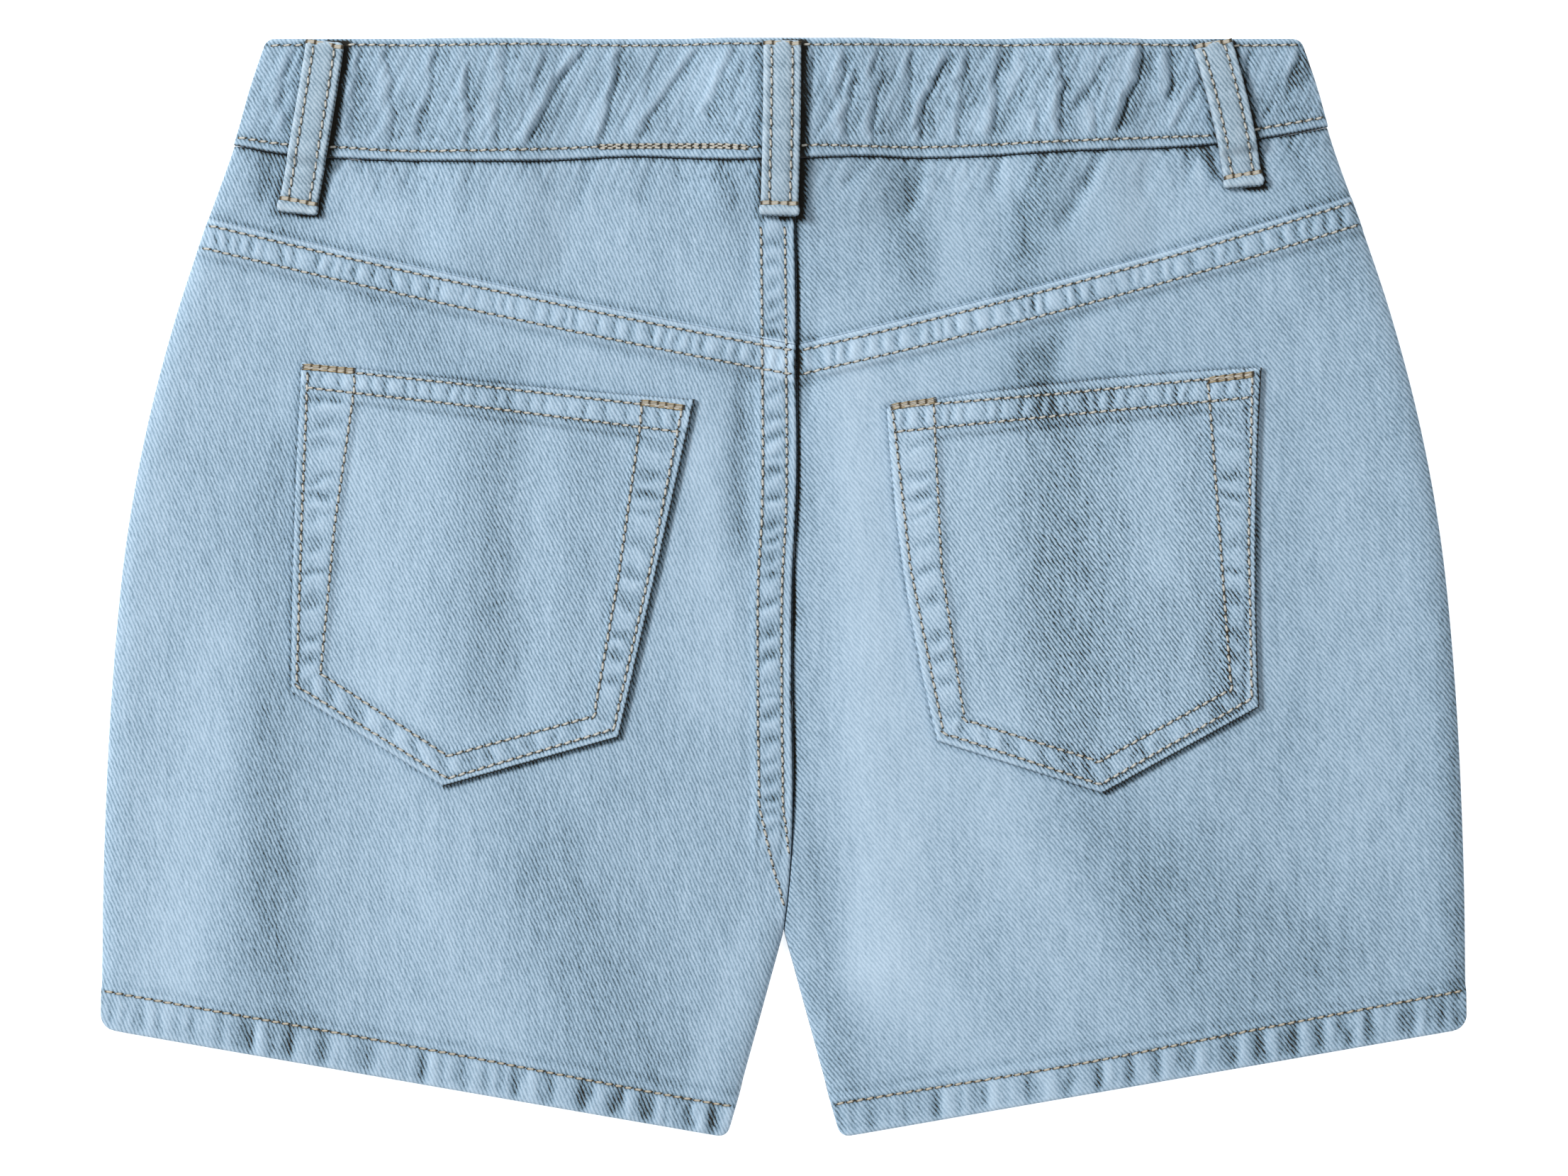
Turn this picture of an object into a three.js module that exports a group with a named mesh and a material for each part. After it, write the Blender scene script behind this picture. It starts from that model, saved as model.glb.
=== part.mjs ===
// Denim shorts lying flat with the back up: waist at +Y, hems at -Y, the wearer's left side at -X.
// Each piece is a wall of cloth over its own outline. "Down" is a distance below the waist's top edge,
// and a height is a distance above the surface that the shorts lie on. All sizes are millimetres.
import * as THREE from "three";

const { lerp, smoothstep } = THREE.MathUtils;

// Thicknesses and gaps
const WALL = 1.2;
const HEM_WALL = 2.1;
const BAND_WALL = 2.3;
const LOOP_WALL = 1.9;
const SEAM_GAP = 0.3;
const SEAM_RAISE = 0.8;
const POCKET_RAISE = 0.5;

// How much of the hem's extra thickness hangs below the panel.
const HEM_BELOW_SHARE = 0.7;

// How the layers lie: the back stands this far above the surface, and rolls down to the front at its edges.
const BACK_HEIGHT = 3.6;
const EDGE_ROLL = 7;
const EDGE_INSET = 0.45;

// Cut lines
const CROTCH_DOWN = 258.4;
const LEG_SLOPE = 0.275;
const HEM_CENTRE_DOWN = 320.8;
const HEM_SLOPE = 0.1738;
const HEM_DEPTH = 10.9;
const HEM_FADE = 2;
const HEM_ROWS_DEPTH = 13.9;
const HEM_APPROACH_ROWS = 3;
const OUTER_CORNER = 4.1;
const INNER_CORNER = 2.5;
const WAIST_CORNER = 2.5;
const YOKE_CENTRE_DOWN = 88.6;
const SEAM_BAND = 9.5;
const BAND_FADE = 2.2;
const SEAT_BAND_TAPER = 30;
const FRONT_SEAM_X = 3;
const FRONT_SEAM_BEND_DOWN = 170;
const FRONT_DIP = 8;
const FRONT_BAND_CENTRE_DOWN = 41;
const TAB_END_X = 14;
const UNDERLAP_END_X = -12;
const UNDERLAP_STEP_START = 1.5;
const UNDERLAP_STEP_END = 9;
const FRONT_BAND_EASE = 0.1;

// Half the width of the shorts at each distance down.
const SIDE = [
  { down: 0, half: 149.5 },
  { down: 14, half: 154.2 },
  { down: 30, half: 158.8 },
  { down: 55, half: 167.7 },
  { down: 80, half: 176.0 },
  { down: 112, half: 184.4 },
  { down: 145, half: 190.4 },
  { down: 185, half: 194.4 },
  { down: 235, half: 196.9 },
  { down: 290, half: 197.7 },
];

// The lapped edge of the seat seam.
const SEAT = [
  { down: 30, x: 3.0 },
  { down: 88, x: 3.6 },
  { down: 137, x: 3.6 },
  { down: 157, x: 2.5 },
  { down: 195, x: 2.4 },
  { down: 227, x: 2.6 },
  { down: 248, x: 1.3 },
  { down: 258.4, x: 0 },
];

// The lower edge of the back waistband, pulled uneven by its elastic.
const BAND_EDGE = [
  { x: -160, down: 30.6 },
  { x: -145, down: 33.4 },
  { x: -130, down: 34.6 },
  { x: -75, down: 35.6 },
  { x: -42, down: 34.2 },
  { x: -13, down: 35.3 },
  { x: 7, down: 34.9 },
  { x: 24, down: 34.2 },
  { x: 40, down: 34.6 },
  { x: 81, down: 32.8 },
  { x: 126, down: 30.5 },
  { x: 142, down: 28.3 },
  { x: 158, down: 25.4 },
];

// Where each yoke seam meets the side, and how far it bows below a straight line.
const YOKE_SEAM = {
  left: { sideDown: 52.1, bow: 1.2 },
  right: { sideDown: 45.7, bow: 1.8 },
};

// Gathers of the back waistband: the trough's x at its upper end, middle and lower end.
const GATHERS = [
  { upper: -140.5, middle: -143.6, lower: -144.6, from: 3, to: 24, depth: 0.7 },
  { upper: -122.1, middle: -123.1, lower: -124.1, from: 2, to: 30, depth: 0.8 },
  { upper: -114.3, middle: -112.8, lower: -113.5, from: 2, to: 32, depth: 0.8 },
  { upper: -99.1, middle: -103.0, lower: -106.7, from: 2, to: 34, depth: 0.9 },
  { upper: -90.1, middle: -90.6, lower: -90.7, from: 9, to: 36, depth: 1.0 },
  { upper: -79.4, middle: -81.2, lower: -82.7, from: 1, to: 33, depth: 0.8 },
  { upper: -68.0, middle: -70.0, lower: -72.0, from: 5, to: 15, depth: 0.6 },
  { upper: -56.1, middle: -67.0, lower: -74.5, from: 1, to: 34, depth: 1.3 },
  { upper: -45.6, middle: -48.8, lower: -53.4, from: 0, to: 32, depth: 1.2 },
  { upper: -36.5, middle: -37.8, lower: -39.4, from: 4, to: 15, depth: 0.6 },
  { upper: -24.0, middle: -34.5, lower: -43.2, from: 3, to: 32, depth: 1.0 },
  { upper: -14.0, middle: -17.6, lower: -21.6, from: 2, to: 22, depth: 0.8 },
  { upper: 8.7, middle: 8.3, lower: 7.9, from: 2, to: 18, depth: 0.7 },
  { upper: 18.3, middle: 17.4, lower: 16.3, from: 2, to: 17, depth: 0.8 },
  { upper: 20.4, middle: 18.8, lower: 19.8, from: 12, to: 35, depth: 0.8 },
  { upper: 27.6, middle: 26.6, lower: 25.5, from: 1, to: 11, depth: 0.8 },
  { upper: 28.6, middle: 26.1, lower: 26.5, from: 12, to: 34, depth: 0.9 },
  { upper: 37.8, middle: 37.3, lower: 36.8, from: 2, to: 14, depth: 0.7 },
  { upper: 47.5, middle: 40.8, lower: 40.1, from: 6, to: 36, depth: 1.2 },
  { upper: 52.2, middle: 52.8, lower: 51.8, from: 1, to: 14, depth: 0.8 },
  { upper: 54.2, middle: 51.1, lower: 48.7, from: 15, to: 33, depth: 0.8 },
  { upper: 64.1, middle: 61.6, lower: 61.0, from: 1, to: 35, depth: 1.0 },
  { upper: 70.6, middle: 68.6, lower: 65.5, from: 7, to: 19, depth: 0.6 },
  { upper: 79.8, middle: 80.0, lower: 80.3, from: 1, to: 13, depth: 0.8 },
  { upper: 80.9, middle: 80.3, lower: 80.9, from: 14, to: 33, depth: 1.3 },
  { upper: 73.7, middle: 73.5, lower: 73.3, from: 21, to: 34, depth: 0.7 },
  { upper: 93.2, middle: 89.1, lower: 85.0, from: 7, to: 19, depth: 0.7 },
  { upper: 89.1, middle: 89.6, lower: 90.1, from: 21, to: 33, depth: 0.7 },
  { upper: 104.4, middle: 100.4, lower: 93.8, from: 1, to: 33, depth: 1.4 },
  { upper: 112.2, middle: 112.3, lower: 112.4, from: 0, to: 16, depth: 1.3 },
  { upper: 119.8, middle: 117.0, lower: 113.7, from: 12, to: 26, depth: 0.6 },
  { upper: 134.6, middle: 133.4, lower: 132.1, from: 4, to: 16, depth: 0.7 },
  { upper: 149.5, middle: 148.0, lower: 146.5, from: 2, to: 12, depth: 0.9 },
];
const GATHER_WIDTH = 2.3;
const GATHER_FADE = 4;
const GATHER_FULL = 1;
const GATHER_CAP = 1.5;

// The back waistband swells between its seams, and its upper side turns down over its two edges.
const BAND_DEPTH = 35.6;
const BAND_SWELL = 0.5;
const BAND_TURN_DROP = 0.8;
const BAND_TURN_WIDTH = 2.2;
const BAND_LOWER_TURN = 1.2;
const BAND_STEPS = 96;

// Soft folds of the back: a line from one point to another, with the height of its crest.
const FOLDS = [
  { x: -11, down: 96, toX: -12.5, toDown: 142, width: 5, height: -0.6 },
  { x: 9, down: 84, toX: 7.5, toDown: 108, width: 4, height: -0.5 },
  { x: 19, down: 92, toX: 22, toDown: 190, width: 9, height: 0.5 },
  { x: 26, down: 190, toX: 30, toDown: 278, width: 15, height: 0.8 },
  { x: -155, down: 188, toX: -160, toDown: 276, width: 13, height: 0.8 },
  { x: -124, down: 206, toX: -116, toDown: 276, width: 13, height: -0.6 },
  { x: -93, down: 112, toX: -95, toDown: 196, width: 10, height: 0.5 },
  { x: -75, down: 110, toX: -77, toDown: 190, width: 8, height: -0.5 },
  { x: 82, down: 108, toX: 80, toDown: 196, width: 12, height: -0.5 },
  { x: 120, down: 200, toX: 130, toDown: 280, width: 16, height: 0.6 },
  { x: -60, down: 214, toX: -52, toDown: 290, width: 16, height: 0.5 },
  { x: -104, down: 44, toX: -118, toDown: 62, width: 8, height: 0.5 },
  { x: 36, down: 40, toX: 33, toDown: 52, width: 4, height: -0.5 },
  { x: 88, down: 38, toX: 80, toDown: 54, width: 5, height: -0.5 },
];

// Shares of a fold's length: how far it fades beyond its ends, and where it is whole.
const FOLD_FADE = 0.35;
const FOLD_WHOLE = 0.2;

// Patch pockets: corners as [x, down], and how far each edge bows to the right or downwards.
const POCKETS = {
  left: {
    corners: { topLeft: [-139.3, 93.5], topRight: [-25.7, 104.4], bottomRight: [-47.7, 202.1],
      tip: [-98.3, 216.3], bottomLeft: [-142.4, 188.8] },
    bow: { top: 0.8, left: -0.7, right: 0.2 },
  },
  right: {
    corners: { topLeft: [29.8, 106.6], topRight: [138.2, 95.2], bottomRight: [137.5, 193.4],
      tip: [92.4, 218.3], bottomLeft: [44.4, 203.2] },
    bow: { top: -1.6, left: -2.4, right: -1.3 },
  },
};
const POCKET_BORDER = 8.6;
const POCKET_HEM = 11.6;

// Belt loops of the back: the x of the middle line at the waist, halfway down and at the lower end.
const LOOP_WIDTH = 10.9;
const LOOPS = {
  left: { upper: -132.3, middle: -136.2, lower: -140.8, end: 50.8 },
  centre: { upper: -0.4, middle: -0.6, lower: -1.3, end: 51.7 },
  right: { upper: 123.6, middle: 129.2, lower: 133.2, end: 43.2 },
};
const LOOP_TOP = 1.2;
const LOOP_PAD = 5;
const LOOP_PAD_RAISE = 0.5;
const LOOP_COLUMNS = [0, 0.12, 0.5, 0.88, 1];
const LOOP_UPPER_COLUMNS = [0.03, 0.12, 0.5, 0.88, 0.97];
const LOOP_TILT_STEP = 0.02;
const LOOP_EDGE_DROP = 0.5;
const LOOP_EDGE_LIFT = 0.3;
const LOOP_EDGE_POWER = 6;

// The spots under a loop that its underside has to clear, as shares of its width and distances along it.
const CLEARANCE_ACROSS = [-0.5, -0.4, -0.3, -0.2, -0.1, 0, 0.1, 0.2, 0.3, 0.4, 0.5];
const CLEARANCE_ALONG = [-2.4, -1.8, -1.2, -0.6, 0, 0.6, 1.2, 1.8, 2.4];
const WAIST_MARGIN = 0.1;

// Belt loops of the front, and the button, lie on the surface and lift the cloth above them.
const FRONT_LOOP_X = 85;
const FRONT_LOOP_TOP = 5.6;
const FRONT_LOOP_END = 54;
const BUTTON_DOWN = 25;
const BUTTON_RADIUS = 8.5;
const BUTTON_HEIGHT = 2;

// The button from its middle to its rim and back: shares of its radius and heights.
const BUTTON_PROFILE = [
  [0, 0.3], [0.62, 0.3], [0.7, 0], [0.9, 0.1], [1, 0.6], [1, 1.2], [0.86, BUTTON_HEIGHT], [0, BUTTON_HEIGHT],
];
const BUTTON_SIDES = 24;

const LIFT_REACH = 17;
const FRONT_LOOP_LIFT = {
  down: (FRONT_LOOP_TOP + FRONT_LOOP_END) / 2,
  halfWidth: LOOP_WIDTH / 2 + 1.5,
  halfHeight: (FRONT_LOOP_END - FRONT_LOOP_TOP) / 2 + 4,
  height: LOOP_WALL + SEAM_GAP,
};
const LIFTS = [
  { x: -FRONT_LOOP_X, ...FRONT_LOOP_LIFT },
  { x: FRONT_LOOP_X, ...FRONT_LOOP_LIFT },
  { x: 0, down: BUTTON_DOWN, halfWidth: 7, halfHeight: 7, height: BUTTON_HEIGHT + SEAM_GAP },
];
const UNDERLAP_LIFT = { x: 3, down: 20, halfWidth: 18, halfHeight: 24, height: BAND_WALL + 0.2 };

// The fly's shield behind the front opening.
const FLY_LENGTH = 82;
const FLY_WIDTH = 30;
const FLY_WALL = 1;
const FLY_TOP_GAP = 1.2;
const FLY_FROM_SEAM = 1;
const FLY_CURVE_START = 0.68;
const FLY_CURVE_SHARE = 0.9;

const MEET_ROUNDS = 40;

// A smooth curve through the rows of a table.
function curve(rows, from, to) {
  const through = new THREE.CubicInterpolant(rows.map((row) => row[from]), rows.map((row) => row[to]), 1);
  return (at) => through.evaluate(at)[0];
}

const half = curve(SIDE, "down", "half");
const seat = curve(SEAT, "down", "x");
const bandEdge = curve(BAND_EDGE, "x", "down");
const hem = (x) => HEM_CENTRE_DOWN - HEM_SLOPE * Math.abs(x);
const legInner = (down) => LEG_SLOPE * (down - CROTCH_DOWN);
const aboveHem = (x, down) => hem(x) - down;

// The distance down where a seam given by x meets an upright edge given by its distance down.
function meet(seam, across) {
  let down = seam(0);
  for (let i = 0; i < MEET_ROUNDS; i += 1) {
    down = seam(across(down));
  }
  return down;
}

const HEM_CORNER_X = legInner(meet(hem, legInner)) + INNER_CORNER;
const LENGTH = hem(HEM_CORNER_X);
const toY = (down) => LENGTH / 2 - down;

function yokeSeam(x) {
  const side = x < seat(YOKE_CENTRE_DOWN) ? -1 : 1;
  const { sideDown, bow } = side < 0 ? YOKE_SEAM.left : YOKE_SEAM.right;
  const centreX = seat(YOKE_CENTRE_DOWN);
  const t = (x - centreX) / (side * half(sideDown) - centreX);
  return lerp(YOKE_CENTRE_DOWN, sideDown, t) + bow * 4 * t * (1 - t);
}

function frontBandEdge(x) {
  const side = x < 0 ? -1 : 1;
  const sideDown = meet(bandEdge, (down) => side * half(down));
  return lerp(FRONT_BAND_CENTRE_DOWN, sideDown, (x / half(sideDown)) ** 2);
}

const frontTop = (x) => FRONT_DIP * (1 - Math.min(1, (x / half(0)) ** 2));

// One inside a box, falling softly to nothing at a given reach outside it.
function spot({ x, down, halfWidth, halfHeight, height }, atX, atDown, reach) {
  const dx = Math.max(Math.abs(atX - x) - halfWidth, 0);
  const dy = Math.max(Math.abs(atDown - down) - halfHeight, 0);
  return height * (1 - smoothstep(Math.hypot(dx, dy), 0, reach));
}

const rise = (x, down) => Math.max(...LIFTS.map((lift) => spot(lift, x, down, LIFT_REACH)));

function folds(x, down) {
  let sum = 0;
  for (const fold of FOLDS) {
    const along = (down - fold.down) / (fold.toDown - fold.down);
    const off = x - lerp(fold.x, fold.toX, along);
    const ends = smoothstep(along, -FOLD_FADE, FOLD_WHOLE)
      * (1 - smoothstep(along, 1 - FOLD_WHOLE, 1 + FOLD_FADE));
    sum += fold.height * ends * Math.exp(-((off / fold.width) ** 2));
  }
  return sum;
}

function gathers(x, down) {
  let sum = 0;
  for (const { upper, middle, lower, from, to, depth } of GATHERS) {
    const t = Math.min(Math.max((down - from) / (to - from), 0), 1);
    const line = upper * (1 - t) * (1 - 2 * t) + middle * 4 * t * (1 - t) + lower * t * (2 * t - 1);
    const ends = smoothstep(down, from - GATHER_FADE, from + GATHER_FULL)
      * (1 - smoothstep(down, to - GATHER_FULL, to + GATHER_FADE));
    sum += depth * ends * Math.exp(-(((x - line) / GATHER_WIDTH) ** 2));
  }
  return sum;
}

// How far the edge of the shorts is, and the roll of the back towards it.
function edgeDistance(x, down) {
  const toSide = half(down) - Math.abs(x);
  const toLeg = down > CROTCH_DOWN
    ? (Math.abs(x) - legInner(down)) * Math.cos(Math.atan(LEG_SLOPE))
    : Math.hypot(x, CROTCH_DOWN - down);
  return Math.max(Math.min(toSide, toLeg), 0);
}

const roll = (distance) => Math.sqrt(1 - (1 - Math.min(distance / EDGE_ROLL, 1)) ** 2);
const hemShare = (x, down) => 1 - smoothstep(aboveHem(x, down), HEM_DEPTH, HEM_DEPTH + HEM_FADE);

// The underside of a back piece whose edges come down to the given height.
function backUnder(x, down, edgeHeight) {
  const height = BACK_HEIGHT + spot(UNDERLAP_LIFT, x, down, LIFT_REACH) + folds(x, down);
  return rise(x, down) + lerp(edgeHeight, height, roll(edgeDistance(x, down)));
}

// The raised bands where the cloth is lapped and doubled at a seam.
function seamBands(x, down) {
  const belowYoke = down - yokeSeam(x);
  const yokeBand = belowYoke < -SEAM_GAP ? 0 : 1 - smoothstep(belowYoke, SEAM_BAND, SEAM_BAND + BAND_FADE);
  const besideSeat = seat(down) - x;
  const taper = 1 - smoothstep(down, CROTCH_DOWN - SEAT_BAND_TAPER, CROTCH_DOWN);
  const seatBand = besideSeat < 0 ? 0 : 1 - smoothstep(besideSeat, SEAM_BAND, SEAM_BAND + BAND_FADE);
  return SEAM_RAISE * Math.max(yokeBand, seatBand * taper);
}

const panelUnder = (x, down) => {
  const share = hemShare(x, down);
  const lowest = lerp(WALL, HEM_WALL, share) + SEAM_GAP;
  const hemDrop = (HEM_WALL - WALL) * HEM_BELOW_SHARE * share;
  return Math.max(backUnder(x, down, lowest) - hemDrop, rise(x, down) + lowest);
};
const panelOver = (x, down) =>
  panelUnder(x, down) + lerp(WALL, HEM_WALL, hemShare(x, down)) + seamBands(x, down);
const frontUnder = (x, down) => rise(x, down);
const frontOver = (x, down) => rise(x, down) + lerp(WALL, HEM_WALL, hemShare(x, down));

const bandUnder = (x, down) => backUnder(x, down, BAND_WALL + SEAM_GAP);
function bandOver(x, down) {
  const fromEdge = Math.min(down, bandEdge(x) - down + BAND_LOWER_TURN);
  const turn = BAND_TURN_DROP * (1 - Math.min(fromEdge / BAND_TURN_WIDTH, 1)) ** 2;
  const pulled = Math.min(gathers(x, down), GATHER_CAP);
  return bandUnder(x, down) + BAND_WALL + BAND_SWELL - turn - pulled;
}
const backOver = (x, down) => (down < bandEdge(x) ? bandOver(x, down) : panelOver(x, down));

// Fractions along a piece: marks given as distances, each with the number of steps that lead to it.
function stations(length, marks) {
  const places = [0];
  for (const [distance, steps] of marks) {
    const start = places[places.length - 1];
    for (let i = 1; i <= steps; i += 1) {
      places.push(lerp(start, distance, i / steps));
    }
  }
  return places.map((place) => place / length);
}

// A patch between four edges, each a function from 0 to 1.
function patch(top, bottom, left, right) {
  return (u, v) => [0, 1].map((axis) => {
    const between = lerp(top(u)[axis], bottom(u)[axis], v) + lerp(left(v)[axis], right(v)[axis], u);
    const topCorners = lerp(top(0)[axis], top(1)[axis], u);
    const corners = lerp(topCorners, lerp(bottom(0)[axis], bottom(1)[axis], u), v);
    return between - corners;
  });
}

// The outline between two seams, from one upright edge to another.
function between(top, bottom, left, right) {
  const upright = (across) => {
    const start = meet(top, across);
    const end = meet(bottom, across);
    return (v) => [across(lerp(start, end, v)), lerp(start, end, v)];
  };
  const leftEdge = upright(left);
  const rightEdge = upright(right);
  const level = (seam, v) => (u) => {
    const x = lerp(leftEdge(v)[0], rightEdge(v)[0], u);
    return [x, seam(x)];
  };
  return patch(level(top, 0), level(bottom, 1), leftEdge, rightEdge);
}

// Rounds the two corners of a leg's hem, and the two of the waist.
function roundHem(plan, side) {
  const middle = (HEM_CORNER_X + half(HEM_CENTRE_DOWN)) / 2;
  const reach = half(HEM_CENTRE_DOWN) - middle;
  return (u, v) => {
    const [x, down] = plan(u, v);
    const off = (Math.abs(x) - middle) / reach;
    const radius = off > 0 ? OUTER_CORNER : INNER_CORNER;
    const above = Math.max(aboveHem(x, down), 0);
    if (above >= radius) return [x, down];
    const inset = radius - Math.sqrt(radius ** 2 - (radius - above) ** 2);
    const moved = side * (Math.abs(x) - off * inset);
    return [moved, hem(moved) - above];
  };
}

function roundWaist(plan) {
  return (u, v) => {
    const [x, down] = plan(u, v);
    const toCorner = Math.min(Math.max(WAIST_CORNER - down, 0), WAIST_CORNER);
    const inset = WAIST_CORNER - Math.sqrt(WAIST_CORNER ** 2 - toCorner ** 2);
    return [x * (1 - inset / half(0)), down];
  };
}

// A closed wall between an underside and an upper side, over a grid of columns and rows.
function wall({ plan, columns, rows, under, over, upperColumns = columns, upperRows = rows }) {
  const positions = [];
  const across = columns.length;
  const deep = rows.length;
  const layer = (us, vs, height) => {
    for (const v of vs) {
      for (const u of us) {
        const [x, down] = plan(u, v);
        positions.push(x, toY(down), height(x, down, u, v));
      }
    }
  };
  layer(columns, rows, under);
  layer(upperColumns, upperRows, over);
  const low = (i, j) => j * across + i;
  const high = (i, j) => across * deep + j * across + i;
  const index = [];
  const quad = (a, b, c, d) => index.push(a, b, c, a, c, d);
  for (let j = 0; j < deep - 1; j += 1) {
    for (let i = 0; i < across - 1; i += 1) {
      quad(low(i, j), low(i + 1, j), low(i + 1, j + 1), low(i, j + 1));
      quad(high(i, j), high(i, j + 1), high(i + 1, j + 1), high(i + 1, j));
    }
  }
  for (let i = 0; i < across - 1; i += 1) {
    quad(low(i, 0), high(i, 0), high(i + 1, 0), low(i + 1, 0));
    quad(low(i, deep - 1), low(i + 1, deep - 1), high(i + 1, deep - 1), high(i, deep - 1));
  }
  for (let j = 0; j < deep - 1; j += 1) {
    quad(low(0, j), low(0, j + 1), high(0, j + 1), high(0, j));
    quad(low(across - 1, j), high(across - 1, j), high(across - 1, j + 1), low(across - 1, j + 1));
  }
  const geometry = new THREE.BufferGeometry();
  geometry.setAttribute("position", new THREE.Float32BufferAttribute(positions, 3));
  geometry.setIndex(index);
  geometry.computeVertexNormals();
  return geometry;
}

// The same stations with the first and last pulled in, for the rounded edge of one face.
function pulledIn(places, length, first, last) {
  return places.map((place, i) => {
    if (i === 0) return first / length;
    return i === places.length - 1 ? 1 - last / length : place;
  });
}

const shorts = new THREE.Group();
const DENIM = { color: 0xa9c3d9, roughness: 0.9, metalness: 0 };
const BRASS = { color: 0xa88a5a, roughness: 0.4, metalness: 0.9 };

function add(name, geometry, finish = DENIM) {
  const mesh = new THREE.Mesh(geometry, new THREE.MeshStandardMaterial(finish));
  mesh.name = name;
  shorts.add(mesh);
}

const shift = (line, gap) => (at) => line(at) + gap;
const outer = (side) => (down) => side * half(down);

// A leg's inner edge: beside a centre seam down to the crotch, then along the inner leg.
function innerEdge(side, seam) {
  return (down) => {
    if (down < CROTCH_DOWN) return seam(down) + (side * SEAM_GAP) / 2;
    return side * (legInner(down) + SEAM_GAP / 2);
  };
}

const frontSeam = (down) => FRONT_SEAM_X * (1 - smoothstep(down, FRONT_SEAM_BEND_DOWN, CROTCH_DOWN));

// A leg's outline, whose last rows run beside the hem, with its length and its crotch row's place.
function legPanel(side, top, seam) {
  const inner = innerEdge(side, seam);
  const topInner = meet(top, seam);
  const deep = meet(hem, legInner) - topInner;
  const edges = side < 0 ? [outer(side), inner] : [inner, outer(side)];
  const whole = between(top, hem, ...edges);
  const hemmed = (u, v) => {
    const [x, down] = whole(u, v);
    const above = (1 - v) * deep;
    return [x, above > HEM_ROWS_DEPTH ? down : hem(x) - above];
  };
  return { plan: roundHem(hemmed, side), deep, toCrotch: CROTCH_DOWN - topInner };
}

const LEG_WIDTH = 181;
const outerMarks = [0.5, 1.6, 3.6, EDGE_ROLL];
const innerMarks = [SEAM_BAND + BAND_FADE, SEAM_BAND, 5, 1.6];
const hemMarks = (deep) => [
  [deep - HEM_DEPTH - HEM_FADE, HEM_APPROACH_ROWS],
  [deep - HEM_DEPTH, 1],
  [deep - OUTER_CORNER, 1],
  [deep - INNER_CORNER / 2, 1],
  [deep, 1],
];
const mirrored = (places) => places.map((place) => 1 - place).reverse();

function backPanel(side) {
  const columns = stations(LEG_WIDTH, [
    ...outerMarks.map((distance) => [distance, 1]),
    [LEG_WIDTH - innerMarks[0], 13],
    ...innerMarks.slice(1).map((distance) => [LEG_WIDTH - distance, 1]),
    [LEG_WIDTH, 1],
  ]);
  const { plan, deep, toCrotch } = legPanel(side, shift(yokeSeam, SEAM_GAP / 2), seat);
  const ordered = side < 0 ? columns : mirrored(columns);
  const inset = side < 0 ? [EDGE_INSET, 0] : [0, EDGE_INSET];
  return wall({
    plan,
    columns: ordered,
    upperColumns: pulledIn(ordered, LEG_WIDTH, ...inset),
    rows: stations(deep, [[SEAM_BAND, 1], [SEAM_BAND + BAND_FADE, 1], [toCrotch, 13], ...hemMarks(deep)]),
    under: panelUnder,
    over: panelOver,
  });
}

// The front's columns and rows are closest where its belt loops lift it.
function frontPanel(side) {
  const { plan, deep, toCrotch } = legPanel(side, shift(frontBandEdge, SEAM_GAP), frontSeam);
  const width = half(FRONT_LOOP_END) - FRONT_SEAM_X * side;
  const loopPlace = half(FRONT_LOOP_END) - FRONT_LOOP_X;
  const plateau = FRONT_LOOP_LIFT.halfWidth;
  const columns = stations(width, [
    [EDGE_ROLL, 1],
    [loopPlace - plateau - LIFT_REACH, 3],
    [loopPlace - plateau, 3],
    [loopPlace + plateau, 2],
    [loopPlace + plateau + LIFT_REACH, 3],
    [width - EDGE_ROLL, 4],
    [width, 1],
  ]);
  const ordered = side < 0 ? columns : mirrored(columns);
  const liftEnd = FRONT_LOOP_LIFT.down + FRONT_LOOP_LIFT.halfHeight;
  const plateauEnd = liftEnd - FRONT_BAND_CENTRE_DOWN + FRONT_SEAM_X;
  const inset = side < 0 ? [EDGE_INSET, 0] : [0, EDGE_INSET];
  return wall({
    plan,
    columns: pulledIn(ordered, width, ...inset),
    upperColumns: ordered,
    rows: stations(deep, [[plateauEnd, 2], [plateauEnd + LIFT_REACH, 3], [toCrotch, 7], ...hemMarks(deep)]),
    under: frontUnder,
    over: frontOver,
  });
}

function yoke(side) {
  const inner = (down) => seat(down) + (side * SEAM_GAP) / 2;
  const top = shift(bandEdge, SEAM_GAP);
  const bottom = shift(yokeSeam, -SEAM_GAP / 2);
  const edges = side < 0 ? [outer(side), inner] : [inner, outer(side)];
  const plan = between(top, bottom, ...edges);
  const width = half(YOKE_CENTRE_DOWN / 2);
  const columns = stations(width, [
    ...outerMarks.map((distance) => [distance, 1]),
    [width - SEAM_BAND - BAND_FADE, 14], [width - SEAM_BAND, 1], [width, 1],
  ]);
  const ordered = side < 0 ? columns : mirrored(columns);
  const inset = side < 0 ? [EDGE_INSET, 0] : [0, EDGE_INSET];
  return wall({
    plan,
    columns: ordered,
    upperColumns: pulledIn(ordered, width, ...inset),
    rows: stations(1, [[1, 6]]),
    under: panelUnder,
    over: (x, down) => panelUnder(x, down) + WALL + seamBands(x, Math.min(down, yokeSeam(x) - WALL)),
  });
}

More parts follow.
